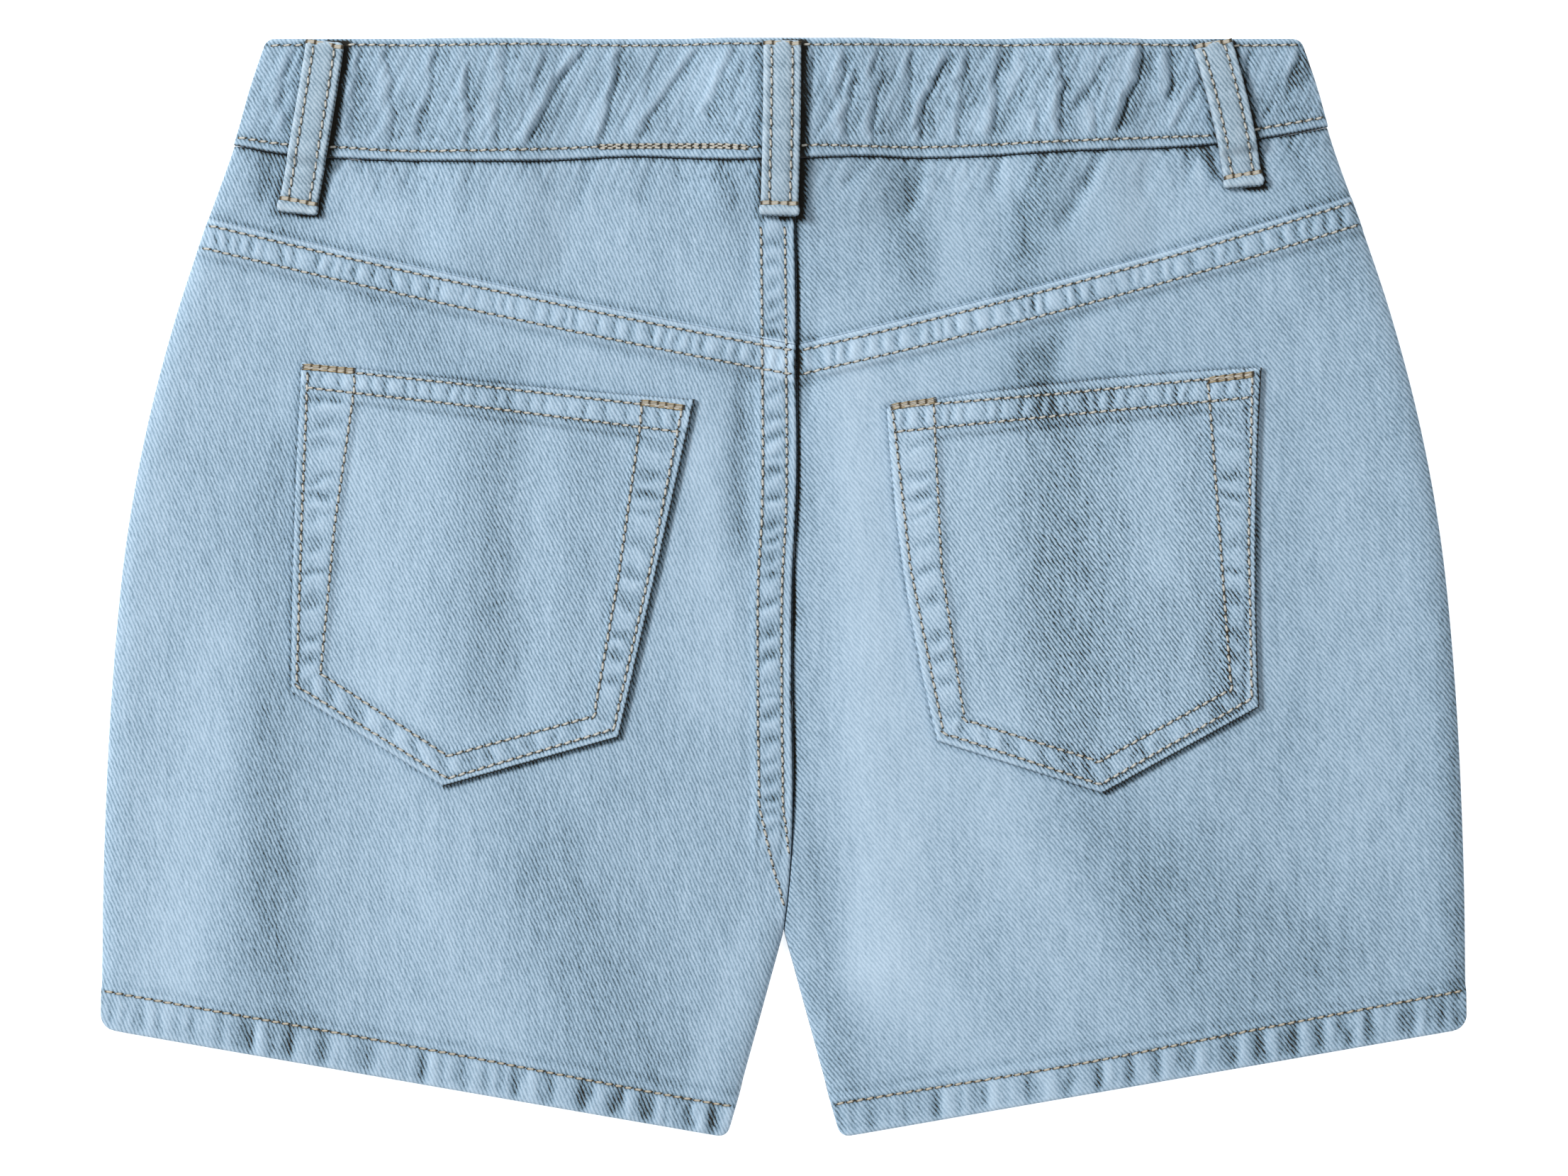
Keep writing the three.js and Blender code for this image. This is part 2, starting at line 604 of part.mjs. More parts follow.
function backBand() {
  const width = 2 * half(0);
  const columns = stations(width, [
    [0.6, 1],
    [2.4, 1],
    [EDGE_ROLL, 2],
    [width - EDGE_ROLL, BAND_STEPS],
    [width - 2.4, 2],
    [width - 0.6, 1],
    [width, 1],
  ]);
  const plan = roundWaist(between(() => 0, bandEdge, outer(-1), outer(1)));
  return wall({
    plan,
    columns,
    upperColumns: pulledIn(columns, width, EDGE_INSET, EDGE_INSET),
    rows: stations(BAND_DEPTH, [[1, 1], [WAIST_CORNER, 1], [BAND_DEPTH - 2, 4], [BAND_DEPTH, 1]]),
    under: bandUnder,
    over: bandOver,
  });
}

function frontBand(side) {
  const innerX = side < 0 ? TAB_END_X : UNDERLAP_END_X;
  const onTab = (x) => 1 - smoothstep(x, TAB_END_X + UNDERLAP_STEP_START, TAB_END_X + UNDERLAP_STEP_END);
  const step = (x) => (side < 0 ? 0 : (BAND_WALL + SEAM_GAP) * onTab(x));
  const bounds = side < 0 ? [outer(side), () => innerX] : [() => innerX, outer(side)];
  const plan = roundWaist(between(frontTop, frontBandEdge, ...bounds));
  const width = half(0) - side * innerX;
  const deep = FRONT_BAND_CENTRE_DOWN - FRONT_DIP;
  const stepAt = TAB_END_X - UNDERLAP_END_X;
  const stepMarks = [[stepAt + UNDERLAP_STEP_START, 3], [stepAt + UNDERLAP_STEP_END, 3]];
  const marks = side < 0 ? [[width, 22]] : [...stepMarks, [width, 18]];
  return wall({
    plan,
    columns: stations(width, marks),
    rows: stations(deep, [[1, 1], [WAIST_CORNER, 1], [deep, 3]]),
    under: (x, down) => rise(x, down) + step(x),
    over: (x, down) => rise(x, down) + step(x) + BAND_WALL - FRONT_BAND_EASE,
  });
}

function backPocket({ corners, bow }) {
  const { topLeft, topRight, bottomLeft, bottomRight, tip } = corners;
  const tipAt = (tip[0] - bottomLeft[0]) / (bottomRight[0] - bottomLeft[0]);
  const mix = (a, b, t) => [lerp(a[0], b[0], t), lerp(a[1], b[1], t)];
  const bowed = (a, b, t, right, down) => {
    const [x, y] = mix(a, b, t);
    const share = 4 * t * (1 - t);
    return [x + right * share, y + down * share];
  };
  const foot = (u) => {
    if (u < tipAt) return mix(bottomLeft, tip, u / tipAt);
    return mix(tip, bottomRight, (u - tipAt) / (1 - tipAt));
  };
  const width = topRight[0] - topLeft[0];
  const deep = tip[1] - topLeft[1];
  const plan = patch(
    (u) => bowed(topLeft, topRight, u, 0, bow.top),
    foot,
    (v) => bowed(topLeft, bottomLeft, v, bow.left, 0),
    (v) => bowed(topRight, bottomRight, v, bow.right, 0),
  );
  const columns = stations(width, [
    [POCKET_BORDER, 1],
    [POCKET_BORDER + BAND_FADE, 1],
    [width * tipAt, 4],
    [width - POCKET_BORDER - BAND_FADE, 4],
    [width - POCKET_BORDER, 1],
    [width, 1],
  ]);
  const rows = stations(deep, [
    [POCKET_HEM, 1],
    [POCKET_HEM + BAND_FADE, 1],
    [deep - POCKET_BORDER - BAND_FADE, 8],
    [deep - POCKET_BORDER, 1],
    [deep, 1],
  ]);
  const under = (x, down) => panelOver(x, down) + SEAM_GAP;
  const turned = (u, v) => {
    const fromBorder = Math.min(u * width, (1 - u) * width, (1 - v) * deep) - POCKET_BORDER;
    const fromTop = v * deep - POCKET_HEM;
    return POCKET_RAISE * (1 - smoothstep(Math.min(fromBorder, fromTop), 0, BAND_FADE));
  };
  return wall({
    plan,
    columns,
    upperColumns: pulledIn(columns, width, SEAM_GAP, SEAM_GAP),
    rows,
    upperRows: pulledIn(rows, deep, SEAM_GAP, SEAM_GAP),
    under,
    over: (x, down, u, v) => under(x, down) + WALL + turned(u, v),
  });
}

// The height that clears everything under a strip of the loop's width around one place.
function clearance(x, down) {
  let highest = 0;
  for (const across of CLEARANCE_ACROSS) {
    for (const along of CLEARANCE_ALONG) {
      const sampleDown = Math.max(down + along, WAIST_MARGIN);
      highest = Math.max(highest, backOver(x + across * LOOP_WIDTH, sampleDown));
    }
  }
  return highest + SEAM_GAP;
}

// None along a loop's middle and one at its two edges.
const towardsEdge = (u) => Math.abs(2 * u - 1) ** LOOP_EDGE_POWER;

function backLoop({ upper, middle, lower, end }) {
  const line = (t) => upper * (1 - t) * (1 - 2 * t) + middle * 4 * t * (1 - t) + lower * t * (2 * t - 1);
  const plan = (u, v) => {
    const before = Math.max(v - LOOP_TILT_STEP, 0);
    const after = Math.min(v + LOOP_TILT_STEP, 1);
    const tilt = (line(after) - line(before)) / (2 * LOOP_TILT_STEP * (end - LOOP_TOP));
    return [line(v) + (u - 0.5) * LOOP_WIDTH, lerp(LOOP_TOP, end, v) - (u - 0.5) * LOOP_WIDTH * tilt];
  };
  const rows = stations(end, [[1.2, 1], [LOOP_PAD, 1], [end - LOOP_PAD, 11], [end - 1.2, 1], [end, 1]]);
  const bed = rows.map((v) => clearance(line(v), lerp(LOOP_TOP, end, v)));
  const bedAt = curve(rows.map((v, i) => ({ v, height: bed[i] })), "v", "height");
  const pad = (v) => LOOP_PAD_RAISE * smoothstep(v * end, end - LOOP_PAD - 1, end - LOOP_PAD);
  return wall({
    plan,
    columns: LOOP_COLUMNS,
    upperColumns: LOOP_UPPER_COLUMNS,
    rows,
    under: (x, down, u, v) => bedAt(v),
    over: (x, down, u, v) => bedAt(v) + LOOP_WALL + pad(v) - LOOP_EDGE_DROP * towardsEdge(u),
  });
}

function frontLoop(side) {
  return wall({
    plan: (u, v) => [side * FRONT_LOOP_X + (u - 0.5) * LOOP_WIDTH, lerp(FRONT_LOOP_TOP, FRONT_LOOP_END, v)],
    columns: LOOP_COLUMNS,
    rows: stations(1, [[1, 6]]),
    under: (x, down, u) => LOOP_EDGE_LIFT * towardsEdge(u),
    over: () => LOOP_WALL,
  });
}

function flyPlacket() {
  const top = FRONT_BAND_CENTRE_DOWN + FLY_TOP_GAP;
  const width = (v) => FLY_WIDTH * Math.sqrt(1 - smoothstep(v, FLY_CURVE_START, 1) * FLY_CURVE_SHARE);
  return wall({
    plan: (u, v) => [FRONT_SEAM_X - FLY_FROM_SEAM - (1 - u) * width(v), top + FLY_LENGTH * v],
    columns: stations(1, [[1, 4]]),
    rows: stations(1, [[FLY_CURVE_START, 3], [1, 5]]),
    under: (x, down) => rise(x, down) + WALL + SEAM_GAP,
    over: (x, down) => rise(x, down) + WALL + SEAM_GAP + FLY_WALL,
  });
}

function button() {
  const profile = BUTTON_PROFILE.map(([share, height]) => new THREE.Vector2(share * BUTTON_RADIUS, height));
  const geometry = new THREE.LatheGeometry(profile, BUTTON_SIDES);
  geometry.rotateX(Math.PI / 2);
  geometry.translate(0, toY(BUTTON_DOWN), 0);
  return geometry;
}

const SIDES = { left: -1, right: 1 };
for (const [name, side] of Object.entries(SIDES)) {
  add(`front_${name}`, frontPanel(side));
  add(`back_${name}`, backPanel(side));
  add(`yoke_${name}`, yoke(side));
  add(`back_pocket_${name}`, backPocket(POCKETS[name]));
  add(`waistband_front_${name}`, frontBand(side));
  add(`belt_loop_front_${name}`, frontLoop(side));
}
add("waistband_back", backBand());
for (const [name, loop] of Object.entries(LOOPS)) {
  add(`belt_loop_back_${name}`, backLoop(loop));
}
add("fly_placket", flyPlacket());
add("button", button(), BRASS);

export default shorts;
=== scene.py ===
"""Denim shorts lying flat with the back up: cloth, stitching, button, floor, light and camera.

"Down" is a distance below the waist's top edge and "x" runs to the wearer's right, both in
millimetres, as are heights above the surface. Points become metres only when a mesh is made.
"""

import math

import bpy
import numpy as np
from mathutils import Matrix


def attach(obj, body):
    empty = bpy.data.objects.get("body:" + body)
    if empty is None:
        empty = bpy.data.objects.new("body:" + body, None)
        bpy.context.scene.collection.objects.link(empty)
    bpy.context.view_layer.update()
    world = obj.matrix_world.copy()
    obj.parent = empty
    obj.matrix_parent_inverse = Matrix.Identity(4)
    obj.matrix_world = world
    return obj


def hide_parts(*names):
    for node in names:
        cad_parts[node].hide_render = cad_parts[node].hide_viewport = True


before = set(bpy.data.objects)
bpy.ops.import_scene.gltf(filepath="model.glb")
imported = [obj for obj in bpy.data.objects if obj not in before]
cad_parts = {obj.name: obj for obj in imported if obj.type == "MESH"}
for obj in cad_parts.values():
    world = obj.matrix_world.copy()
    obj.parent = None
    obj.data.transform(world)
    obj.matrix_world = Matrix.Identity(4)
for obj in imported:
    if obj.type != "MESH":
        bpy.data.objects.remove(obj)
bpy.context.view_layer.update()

METRE = 0.001

# Cloth thicknesses
WALL = 1.2
LEAST_WALL = 0.4
HEM_WALL = 2.1
BAND_WALL = 2.3
LOOP_WALL = 1.9

# Gaps and heights
SEAM_GAP = 0.3
LAP_GAP = 0.015
LOOP_BED_GAP = 0.15
SEAM_RAISE = 0.8
POCKET_RAISE = 0.5
BACK_HEIGHT = 3.6
EDGE_ROLL = 7.0
FLOOR_CLEARANCE = 0.6

# How far the mesh points of a leg lie apart
CLOTH_STEP = 1.05

# Dark lines of painted shade and painted shadow: reach of the ones on the turned-over rims of raised edges,
# and how much each kind takes from the cloth's wear and shade tone
RIM = 0.3
SEAT_LAP_SHADOW = 3.0
BAND_LAP_SHADOW = 1.3
BAND_RIM_SHADE = 2.0
LOOP_RIM_SHADE = 1.8
LOOP_SHADOW_DARK = 3.0
POCKET_SHADOW_DARK = 2.0
# The share that a loop's shadow has on the side towards the light.
LIT_SIDE_SHADOW = 0.25

# Cut lines
CROTCH_DOWN = 258.4
LEG_SLOPE = 0.275
HEM_CENTRE_DOWN = 320.8
HEM_SLOPE = 0.1738
HEM_DEPTH = 10.9
HEM_FADE = 2.0
OUTER_CORNER = 4.1
INNER_CORNER = 2.5
WAIST_CORNER = 2.5
YOKE_CENTRE_DOWN = 88.6
SEAM_BAND = 9.5
BAND_FADE = 2.2
FRONT_SEAM_X = 3.0
FRONT_DIP = 8.0
FRONT_BAND_CENTRE_DOWN = 41.0
TAB_END_X = 14.0
UNDERLAP_END_X = -12.0
LEG_WIDTH = 181.0
PLACKET_LENGTH = 82.0
PLACKET_WIDTH = 30.0

# Rows of stitching, by their distance from the edge that they follow
YOKE_ROWS = (1.9, 8.8)
SEAT_ROWS = (2.9, 9.8)
BAND_TOP_ROW = 2.1
POCKET_ROW = 2.1
LOOP_ROW = 3.0
FRONT_BAND_ROW = 2.2
FRONT_SEAM_ROWS = (2.2, 6.6)
FRONT_SEAM_START = 124
# The cloth tucked in beside the seat seam, and where the seam turns flat towards the crotch.
SEAT_TUCK = 2.4
SEAT_FLAT = (208, 234)

# Half the width of the shorts: distance down, half width.
SIDE = [(0, 149.5), (14, 154.2), (30, 158.8), (55, 167.7), (80, 176.0), (112, 184.4),
        (145, 190.4), (185, 194.4), (235, 196.9), (290, 197.7)]
# Lapped edge of the seat seam: distance down, x.
SEAT = [(30, 3.0), (88, 3.6), (137, 3.6), (157, 2.5), (195, 2.4), (227, 2.6), (248, 1.3), (258.4, 0)]
# Lower edge of the back waistband: x, distance down.
BAND_EDGE = [(-160, 30.6), (-145, 33.4), (-130, 34.6), (-75, 35.6), (-42, 34.2), (-13, 35.3), (7, 34.9),
             (24, 34.2), (40, 34.6), (81, 32.8), (126, 30.5), (142, 28.3), (158, 25.4)]
# Stitch row above the waistband's lower edge: x, distance down.
BAND_ROW = [(-158.4, 28.6), (-144.6, 30.7), (-128.2, 31.6), (-111.8, 32.6), (-74.9, 32.4), (-50.3, 31.4),
            (-21.6, 31.4), (-9.3, 32.0), (9.1, 31.4), (39.9, 31.6), (68.6, 30.5), (93.2, 29.5),
            (109.6, 28.7), (124.9, 28.1), (142.4, 25.4), (156.4, 22.9)]
# Stitch row of the hem: x, height above the hem's edge.
HEM_ROW = [(-198, 11.1), (-104, 10.5), (-14, 9.3), (15, 9.9), (81, 9.3), (142, 10.5), (198, 11.2)]
# Yoke seams: distance down at the side, bow.
YOKE_SEAM = {"left": (52.1, 1.2), "right": (45.7, 1.8)}

# Gathers of the back waistband: trough's x at upper end, middle and lower end, from, to, depth.
GATHERS = [
    (-140.5, -143.6, -144.6, 3, 24, 0.7), (-122.1, -123.1, -124.1, 2, 30, 0.8),
    (-114.3, -112.8, -113.5, 2, 32, 0.8), (-99.1, -103.0, -106.7, 2, 34, 0.9),
    (-90.1, -90.6, -90.7, 9, 36, 1.0), (-79.4, -81.2, -82.7, 1, 33, 0.8),
    (-68.0, -70.0, -72.0, 5, 15, 0.6), (-56.1, -67.0, -74.5, 1, 34, 1.3),
    (-45.6, -48.8, -53.4, 0, 32, 1.2), (-36.5, -37.8, -39.4, 4, 15, 0.6),
    (-24.0, -34.5, -43.2, 3, 32, 1.0), (-14.0, -17.6, -21.6, 2, 22, 0.8),
    (8.7, 8.3, 7.9, 2, 18, 0.7), (18.3, 17.4, 16.3, 2, 17, 0.8),
    (20.4, 18.8, 19.8, 12, 35, 0.8), (27.6, 26.6, 25.5, 1, 11, 0.8),
    (28.6, 26.1, 26.5, 12, 34, 0.9), (37.8, 37.3, 36.8, 2, 14, 0.7),
    (47.5, 40.8, 40.1, 6, 36, 1.2), (52.2, 52.8, 51.8, 1, 14, 0.8),
    (54.2, 51.1, 48.7, 15, 33, 0.8), (64.1, 61.6, 61.0, 1, 35, 1.0),
    (70.6, 68.6, 65.5, 7, 19, 0.6), (79.8, 80.0, 80.3, 1, 13, 0.8),
    (80.9, 80.3, 80.9, 14, 33, 1.3), (73.7, 73.5, 73.3, 21, 34, 0.7),
    (93.2, 89.1, 85.0, 7, 19, 0.7), (89.1, 89.6, 90.1, 21, 33, 0.7),
    (104.4, 100.4, 93.8, 1, 33, 1.4), (112.2, 112.3, 112.4, 0, 16, 1.3),
    (119.8, 117.0, 113.7, 12, 26, 0.6), (134.6, 133.4, 132.1, 4, 16, 0.7),
    (149.5, 148.0, 146.5, 2, 12, 0.9),
]

# Soft folds of the back: x, down, to x, to down, width, height.
FOLDS = [
    (-11, 96, -12.5, 142, 5, -0.6), (9, 84, 7.5, 108, 4, -0.5), (19, 92, 22, 190, 9, 0.5),
    (26, 190, 30, 278, 15, 0.8), (-155, 188, -160, 276, 13, 0.8), (-124, 206, -116, 276, 13, -0.6),
    (-93, 112, -95, 196, 10, 0.5), (-75, 110, -77, 190, 8, -0.5), (82, 108, 80, 196, 12, -0.5),
    (120, 200, 130, 280, 16, 0.6), (-60, 214, -52, 290, 16, 0.5), (-104, 44, -118, 62, 8, 0.5),
    (36, 40, 33, 52, 4, -0.5), (88, 38, 80, 54, 5, -0.5),
]

# Small creases pressed into the back: x, down, to x, to down, width, height.
CREASES = [
    (39.9, 36, 36, 49, 1.6, -0.5), (43, 37, 40, 50, 2.0, 0.22), (24.5, 35, 19.4, 41, 1.5, -0.4),
    (62.4, 34, 60.4, 43, 1.5, -0.45), (65.5, 35, 64, 46, 2.0, 0.16), (74.7, 34, 72.7, 41, 1.5, -0.4),
    (91.1, 34, 87, 42, 1.7, -0.5), (87, 42, 80.9, 52, 2.2, -0.45), (93, 36, 86, 50, 2.4, 0.2),
    (68.6, 48, 70.6, 61, 2.4, -0.35), (-17.5, 36, -14.5, 46, 3.0, -0.35), (-38, 36, -41, 46, 1.8, -0.3),
    (-56, 36, -60, 47, 2.0, -0.3), (-90, 38, -92, 48, 2.0, -0.25), (-108, 37, -110, 45, 1.8, -0.25),
    (-11.0, 96.6, -11.4, 112, 2.2, -0.35), (-11.4, 112, -12.4, 141, 2.6, -0.4),
    (8.7, 87.3, 8.1, 98, 1.6, -0.4), (8.1, 98, 7.1, 107, 1.6, -0.35), (77, 89, 76, 100, 2.8, -0.28),
    (74, 89, 66, 100, 3.0, -0.30), (86, 79, 77, 90, 2.6, -0.18), (84, 82, 83, 100, 3.4, 0.35),
    (96, 75, 80, 80, 3.0, -0.20),
    (118, 27, 116, 40, 2.2, -0.3), (108, 31, 104, 42, 2.0, -0.3), (146, 27, 150, 38, 2.4, -0.3),
    (-147, 33, -150, 44, 3.0, -0.4), (-120, 70, -114, 88, 3.0, -0.3), (128, 160, 124, 186, 3.0, -0.3),
]

# Wash of the back, with the painted light and shade of its folds and creases and a painted shadow down the
# right edge, away from the light: x, down, to x, to down, width, tone, which is darker below nothing and
# paler above.
WASH_AND_SHADE = [
    (-188, 160, -184, 280, 14, 0.20), (-163, 175, -176, 268, 11, 0.30), (-146, 120, -147, 285, 8, -0.34),
    (-151, 190, -154, 262, 7, -0.26), (-144, 240, -140, 285, 8, -0.26), (-104, 215, -90, 275, 24, 0.24),
    (-64, 244, -40, 298, 17, -0.36), (-40, 284, -30, 306, 9, -0.12), (-12, 266, -27, 308, 5, 0.30),
    (-66, 250, -60, 292, 14, -0.16),
    (-26, 112, -17, 190, 6, 0.34), (-13, 100, -13, 145, 3.4, -0.50), (-33, 150, -28, 186, 8, 0.14),
    (-124, 104, -118, 190, 8, 0.30), (-105, 112, -108, 192, 9, 0.26), (-82, 104, -86, 186, 8, -0.34),
    (-68, 110, -70, 188, 7, 0.18), (-60, 120, -62, 190, 6, -0.14), (-112, 73, -98, 95, 9, -0.30),
    (-80, 80, -50, 94, 8, 0.16), (-150, 32, -146, 44, 7, -0.55), (-128, 46, -110, 62, 12, 0.14),
    (-60, 50, -30, 66, 16, 0.16), (-16, 40, -14, 60, 5, -0.22), (-175, 60, -186, 130, 10, 0.16),
    (20, 98, 24, 268, 8, 0.50), (34, 112, 37, 268, 10, 0.34), (10, 240, 16, 300, 6, -0.38),
    (77, 92, 75, 102, 4.0, -0.32), (71, 92, 66, 102, 4.6, -0.28), (86, 79, 77, 91, 3.0, -0.26),
    (70, 92, 74, 103, 6, -0.35), (88, 84, 86, 98, 4, 0.25), (48, 96, 60, 80, 8, 0.10),
    (54, 118, 66, 196, 9, 0.32), (82, 112, 86, 190, 14, -0.40), (74, 150, 70, 178, 10, -0.20),
    (106, 112, 108, 150, 8, 0.24), (90, 103, 108, 108, 6, -0.30), (126, 168, 128, 190, 5, -0.50),
    (122, 112, 121, 190, 6, -0.10), (160, 110, 168, 220, 14, 0.14), (148, 118, 150, 198, 7, -0.12),
    (92, 228, 150, 262, 14, -0.32), (110, 260, 142, 290, 17, -0.44), (60, 220, 84, 262, 16, 0.40),
    (30, 270, 60, 300, 12, 0.26), (193, 120, 197, 285, 6, -0.60), (183, 60, 190, 120, 6, -0.36),
    (190, 280, 170, 288, 9, -0.22), (33, 38, 38, 66, 6, -0.60), (78, 38, 68, 66, 7, -0.60),
    (50, 40, 50, 70, 7, 0.34), (105, 34, 96, 60, 8, 0.34), (62, 82, 22, 92, 6, 0.20),
    (150, 30, 160, 60, 10, -0.34), (120, 40, 112, 58, 9, 0.26), (154, 4, 150, 11, 3.0, -1.7),
    (121.6, 31, 124.4, 38.5, 2.0, -1.5), (124.2, 31, 126.6, 38.5, 1.1, 1.0), (116, 30, 121, 33, 3.0, -0.6),
    (27, 108, 31, 262, 18, 0.16),
]

# Puckers of the hem below its stitch row: x, depth.
HEM_PUCKERS = [
    (-187, 0.3), (-171, 0.3), (-154.9, 0.9), (-142.6, 0.6), (-133.4, 0.6), (-120.0, 0.6), (-104.7, 0.6),
    (-92, 0.3), (-77.0, 0.6), (-67.8, 0.7), (-57.5, 0.8), (-48.3, 0.8), (-39.1, 0.9), (-27.8, 1.0),
    (-20.0, 1.0), (26, 0.3), (44.0, 0.5), (57.3, 0.5), (72.7, 0.6), (82.9, 0.5), (91.1, 0.6), (100.3, 0.6),
    (107.5, 0.5), (116.7, 0.6), (129.0, 0.6), (137.9, 0.8), (146.9, 0.7), (155.1, 0.6), (162.9, 0.6),
    (170.0, 0.6), (180.3, 0.6), (190, 0.4),
]
# How far the puckers lean to the centre as they rise.
HEM_LEAN = 0.08

# Patch pockets. The outline's corners are x, down, clockwise from the top left, and a bowed edge
# has its middle too. The rows of stitching inside it follow the outer edge and the turned borders.
POCKETS = {
    "left": {
        "corners": [(-139.3, 93.5), (-25.7, 104.4), (-47.7, 202.1), (-98.3, 216.3), (-142.4, 188.8)],
        "bows": {"top": 0.8, "left": -0.7, "right": 0.2},
        "outer": [(-29.2, 107.2), (-29.6, 108.4), (-38.4, 152.9), (-49.1, 199.7), (-97.1, 214.0),
                  (-140.7, 187.2), (-139.3, 141.9), (-137.5, 96.6)],
        "inner": [(-40.9, 106.0), (-41.6, 113.0), (-47.9, 157.0), (-54.8, 196.0), (-97.1, 207.5),
                  (-133.8, 183.7), (-129.7, 140.6), (-124.1, 101.9), (-124.0, 97.4)],
        "top": [(-138.0, 95.3), (-83.1, 101.1), (-29.4, 107.2)],
        "second": [(-138.2, 101.0), (-83.1, 107.2), (-29.9, 113.9)],
        "tacks": [((-138.7, 95.0), (-124.1, 96.3)), ((-41.1, 105.3), (-29.0, 106.9))],
    },
    "right": {
        "corners": [(29.8, 106.6), (138.2, 95.2), (137.5, 193.4), (92.4, 218.3), (44.4, 203.2)],
        "bows": {"top": -1.6, "left": -2.4, "right": -1.3},
        "outer": [(135.4, 97.6), (134.4, 144.7), (135.2, 190.9), (91.5, 215.7), (46.2, 200.9),
                  (36.6, 152.9), (31.5, 107.8)],
        "inner": [(122.6, 99.6), (123.1, 105.2), (126.4, 148.8), (129.3, 188.2), (91.1, 209.1),
                  (52.2, 197.0), (45.6, 152.9), (43.6, 112.3), (43.4, 106.0)],
        "top": [(31.4, 106.8), (80.9, 102.7), (135.4, 97.3)],
        "second": [(32.4, 113.8), (85.0, 108.6), (134.8, 103.9)],
        "tacks": [((31.2, 106.6), (43.8, 104.8)), ((122.7, 98.9), (135.6, 97.2))],
    },
}
# How dark the shadow is beside each edge of a pocket's outline, from the top edge's left half round.
EDGE_SHADOWS = np.array([0.45, 0.45, 0.8, 0.8, 0.8, 0.35, 0.4, 0.4])

# Belt loops of the back: middle line's x at waist, halfway and lower end, end, reach of the shadow.
LOOP_WIDTH = 10.9
LOOP_TOP = 1.2
LOOP_CORNER = 1.4
LOOPS = {
    "left": (-132.3, -136.2, -140.8, 50.8, 2.0),
    "centre": (-0.4, -0.6, -1.3, 51.7, 2.2),
    "right": (123.6, 129.2, 133.2, 43.2, 1.5),
}
FRONT_LOOP_X = 85.0
FRONT_LOOP_TOP = 5.6
FRONT_LOOP_END = 54.0
BUTTON_DOWN = 25.0
BUTTON_RADIUS = 8.5
BUTTON_HEIGHT = 2.0
LIFT_REACH = 17.0
# What lifts the front: x, down, half width, half height, height.
LOOP_LIFT = ((FRONT_LOOP_TOP + FRONT_LOOP_END) / 2, LOOP_WIDTH / 2 + 1.5,
             (FRONT_LOOP_END - FRONT_LOOP_TOP) / 2 + 4, LOOP_WALL + SEAM_GAP)
LIFTS = [(-FRONT_LOOP_X, *LOOP_LIFT), (FRONT_LOOP_X, *LOOP_LIFT),
         (0, BUTTON_DOWN, 7, 7, BUTTON_HEIGHT + SEAM_GAP)]
UNDERLAP_LIFT = (3, 20, 18, 24, BAND_WALL + 0.2)


def lerp(a, b, t):
    return a + (b - a) * t


def smoothstep(value, low, high):
    t = np.clip((value - low) / (high - low), 0, 1)
    return t * t * (3 - 2 * t)


def bump(value, middle, width):
    """One at the middle, falling softly to nothing."""
    return np.exp(-(((value - middle) / width) ** 2))


def arch(value, low, high):
    """Nothing outside a range, and one in its middle."""
    return np.sin(math.pi * np.clip((value - low) / (high - low), 0, 1))


def through(start, middle, end, t):
    """A curve through three values, which it has at 0, at a half and at 1."""
    return start * (1 - t) * (1 - 2 * t) + middle * 4 * t * (1 - t) + end * t * (2 * t - 1)


def curve(rows):
    """A smooth curve through the rows of a table."""
    places = np.array([row[0] for row in rows], float)
    values = np.array([row[1] for row in rows], float)
    secants = np.diff(values) / np.diff(places)
    slopes = np.concatenate([secants[:1], (secants[:-1] + secants[1:]) / 2, secants[-1:]])

    def at(place):
        place = np.clip(place, places[0], places[-1])
        i = np.clip(np.searchsorted(places, place, side="right") - 1, 0, len(places) - 2)
        step = places[i + 1] - places[i]
        t = (place - places[i]) / step
        rest = 1 - t
        ends = values[i] * (1 + 2 * t) * rest ** 2 + values[i + 1] * (3 - 2 * t) * t ** 2
        return ends + step * t * rest * (slopes[i] * rest - slopes[i + 1] * t)

    return at


half = curve(SIDE)
seat = curve(SEAT)
band_edge = curve(BAND_EDGE)
band_row = curve(BAND_ROW)
hem_row = curve(HEM_ROW)


def hem(x):
    return HEM_CENTRE_DOWN - HEM_SLOPE * np.abs(x)


def leg_inner(down):
    return LEG_SLOPE * (down - CROTCH_DOWN)


def meet(seam, across):
    """The distance down where a seam given by x meets an upright edge given by its distance down."""
    down = float(seam(0.0))
    for _ in range(40):
        down = float(seam(across(down)))
    return down


HEM_CORNER_X = leg_inner(meet(hem, leg_inner)) + INNER_CORNER
LENGTH = float(hem(HEM_CORNER_X))


def to_y(down):
    return LENGTH / 2 - down


def yoke_seam(x):
    centre = seat(YOKE_CENTRE_DOWN)
    left_down, left_bow = YOKE_SEAM["left"]
    right_down, right_bow = YOKE_SEAM["right"]
    on_left = x < centre
    side_x = np.where(on_left, -half(left_down), half(right_down))
    side_down = np.where(on_left, left_down, right_down)
    t = (x - centre) / (side_x - centre)
    bow = np.where(on_left, left_bow, right_bow)
    return lerp(YOKE_CENTRE_DOWN, side_down, t) + bow * 4 * t * (1 - t)


BAND_SIDE_LEFT = meet(band_edge, lambda down: -half(down))
BAND_SIDE_RIGHT = meet(band_edge, half)


def front_band_edge(x):
    side_down = np.where(np.asarray(x) < 0, BAND_SIDE_LEFT, BAND_SIDE_RIGHT)
    return lerp(FRONT_BAND_CENTRE_DOWN, side_down, (x / half(side_down)) ** 2)


def front_top(x):
    return FRONT_DIP * (1 - np.minimum(1, (x / half(0)) ** 2))


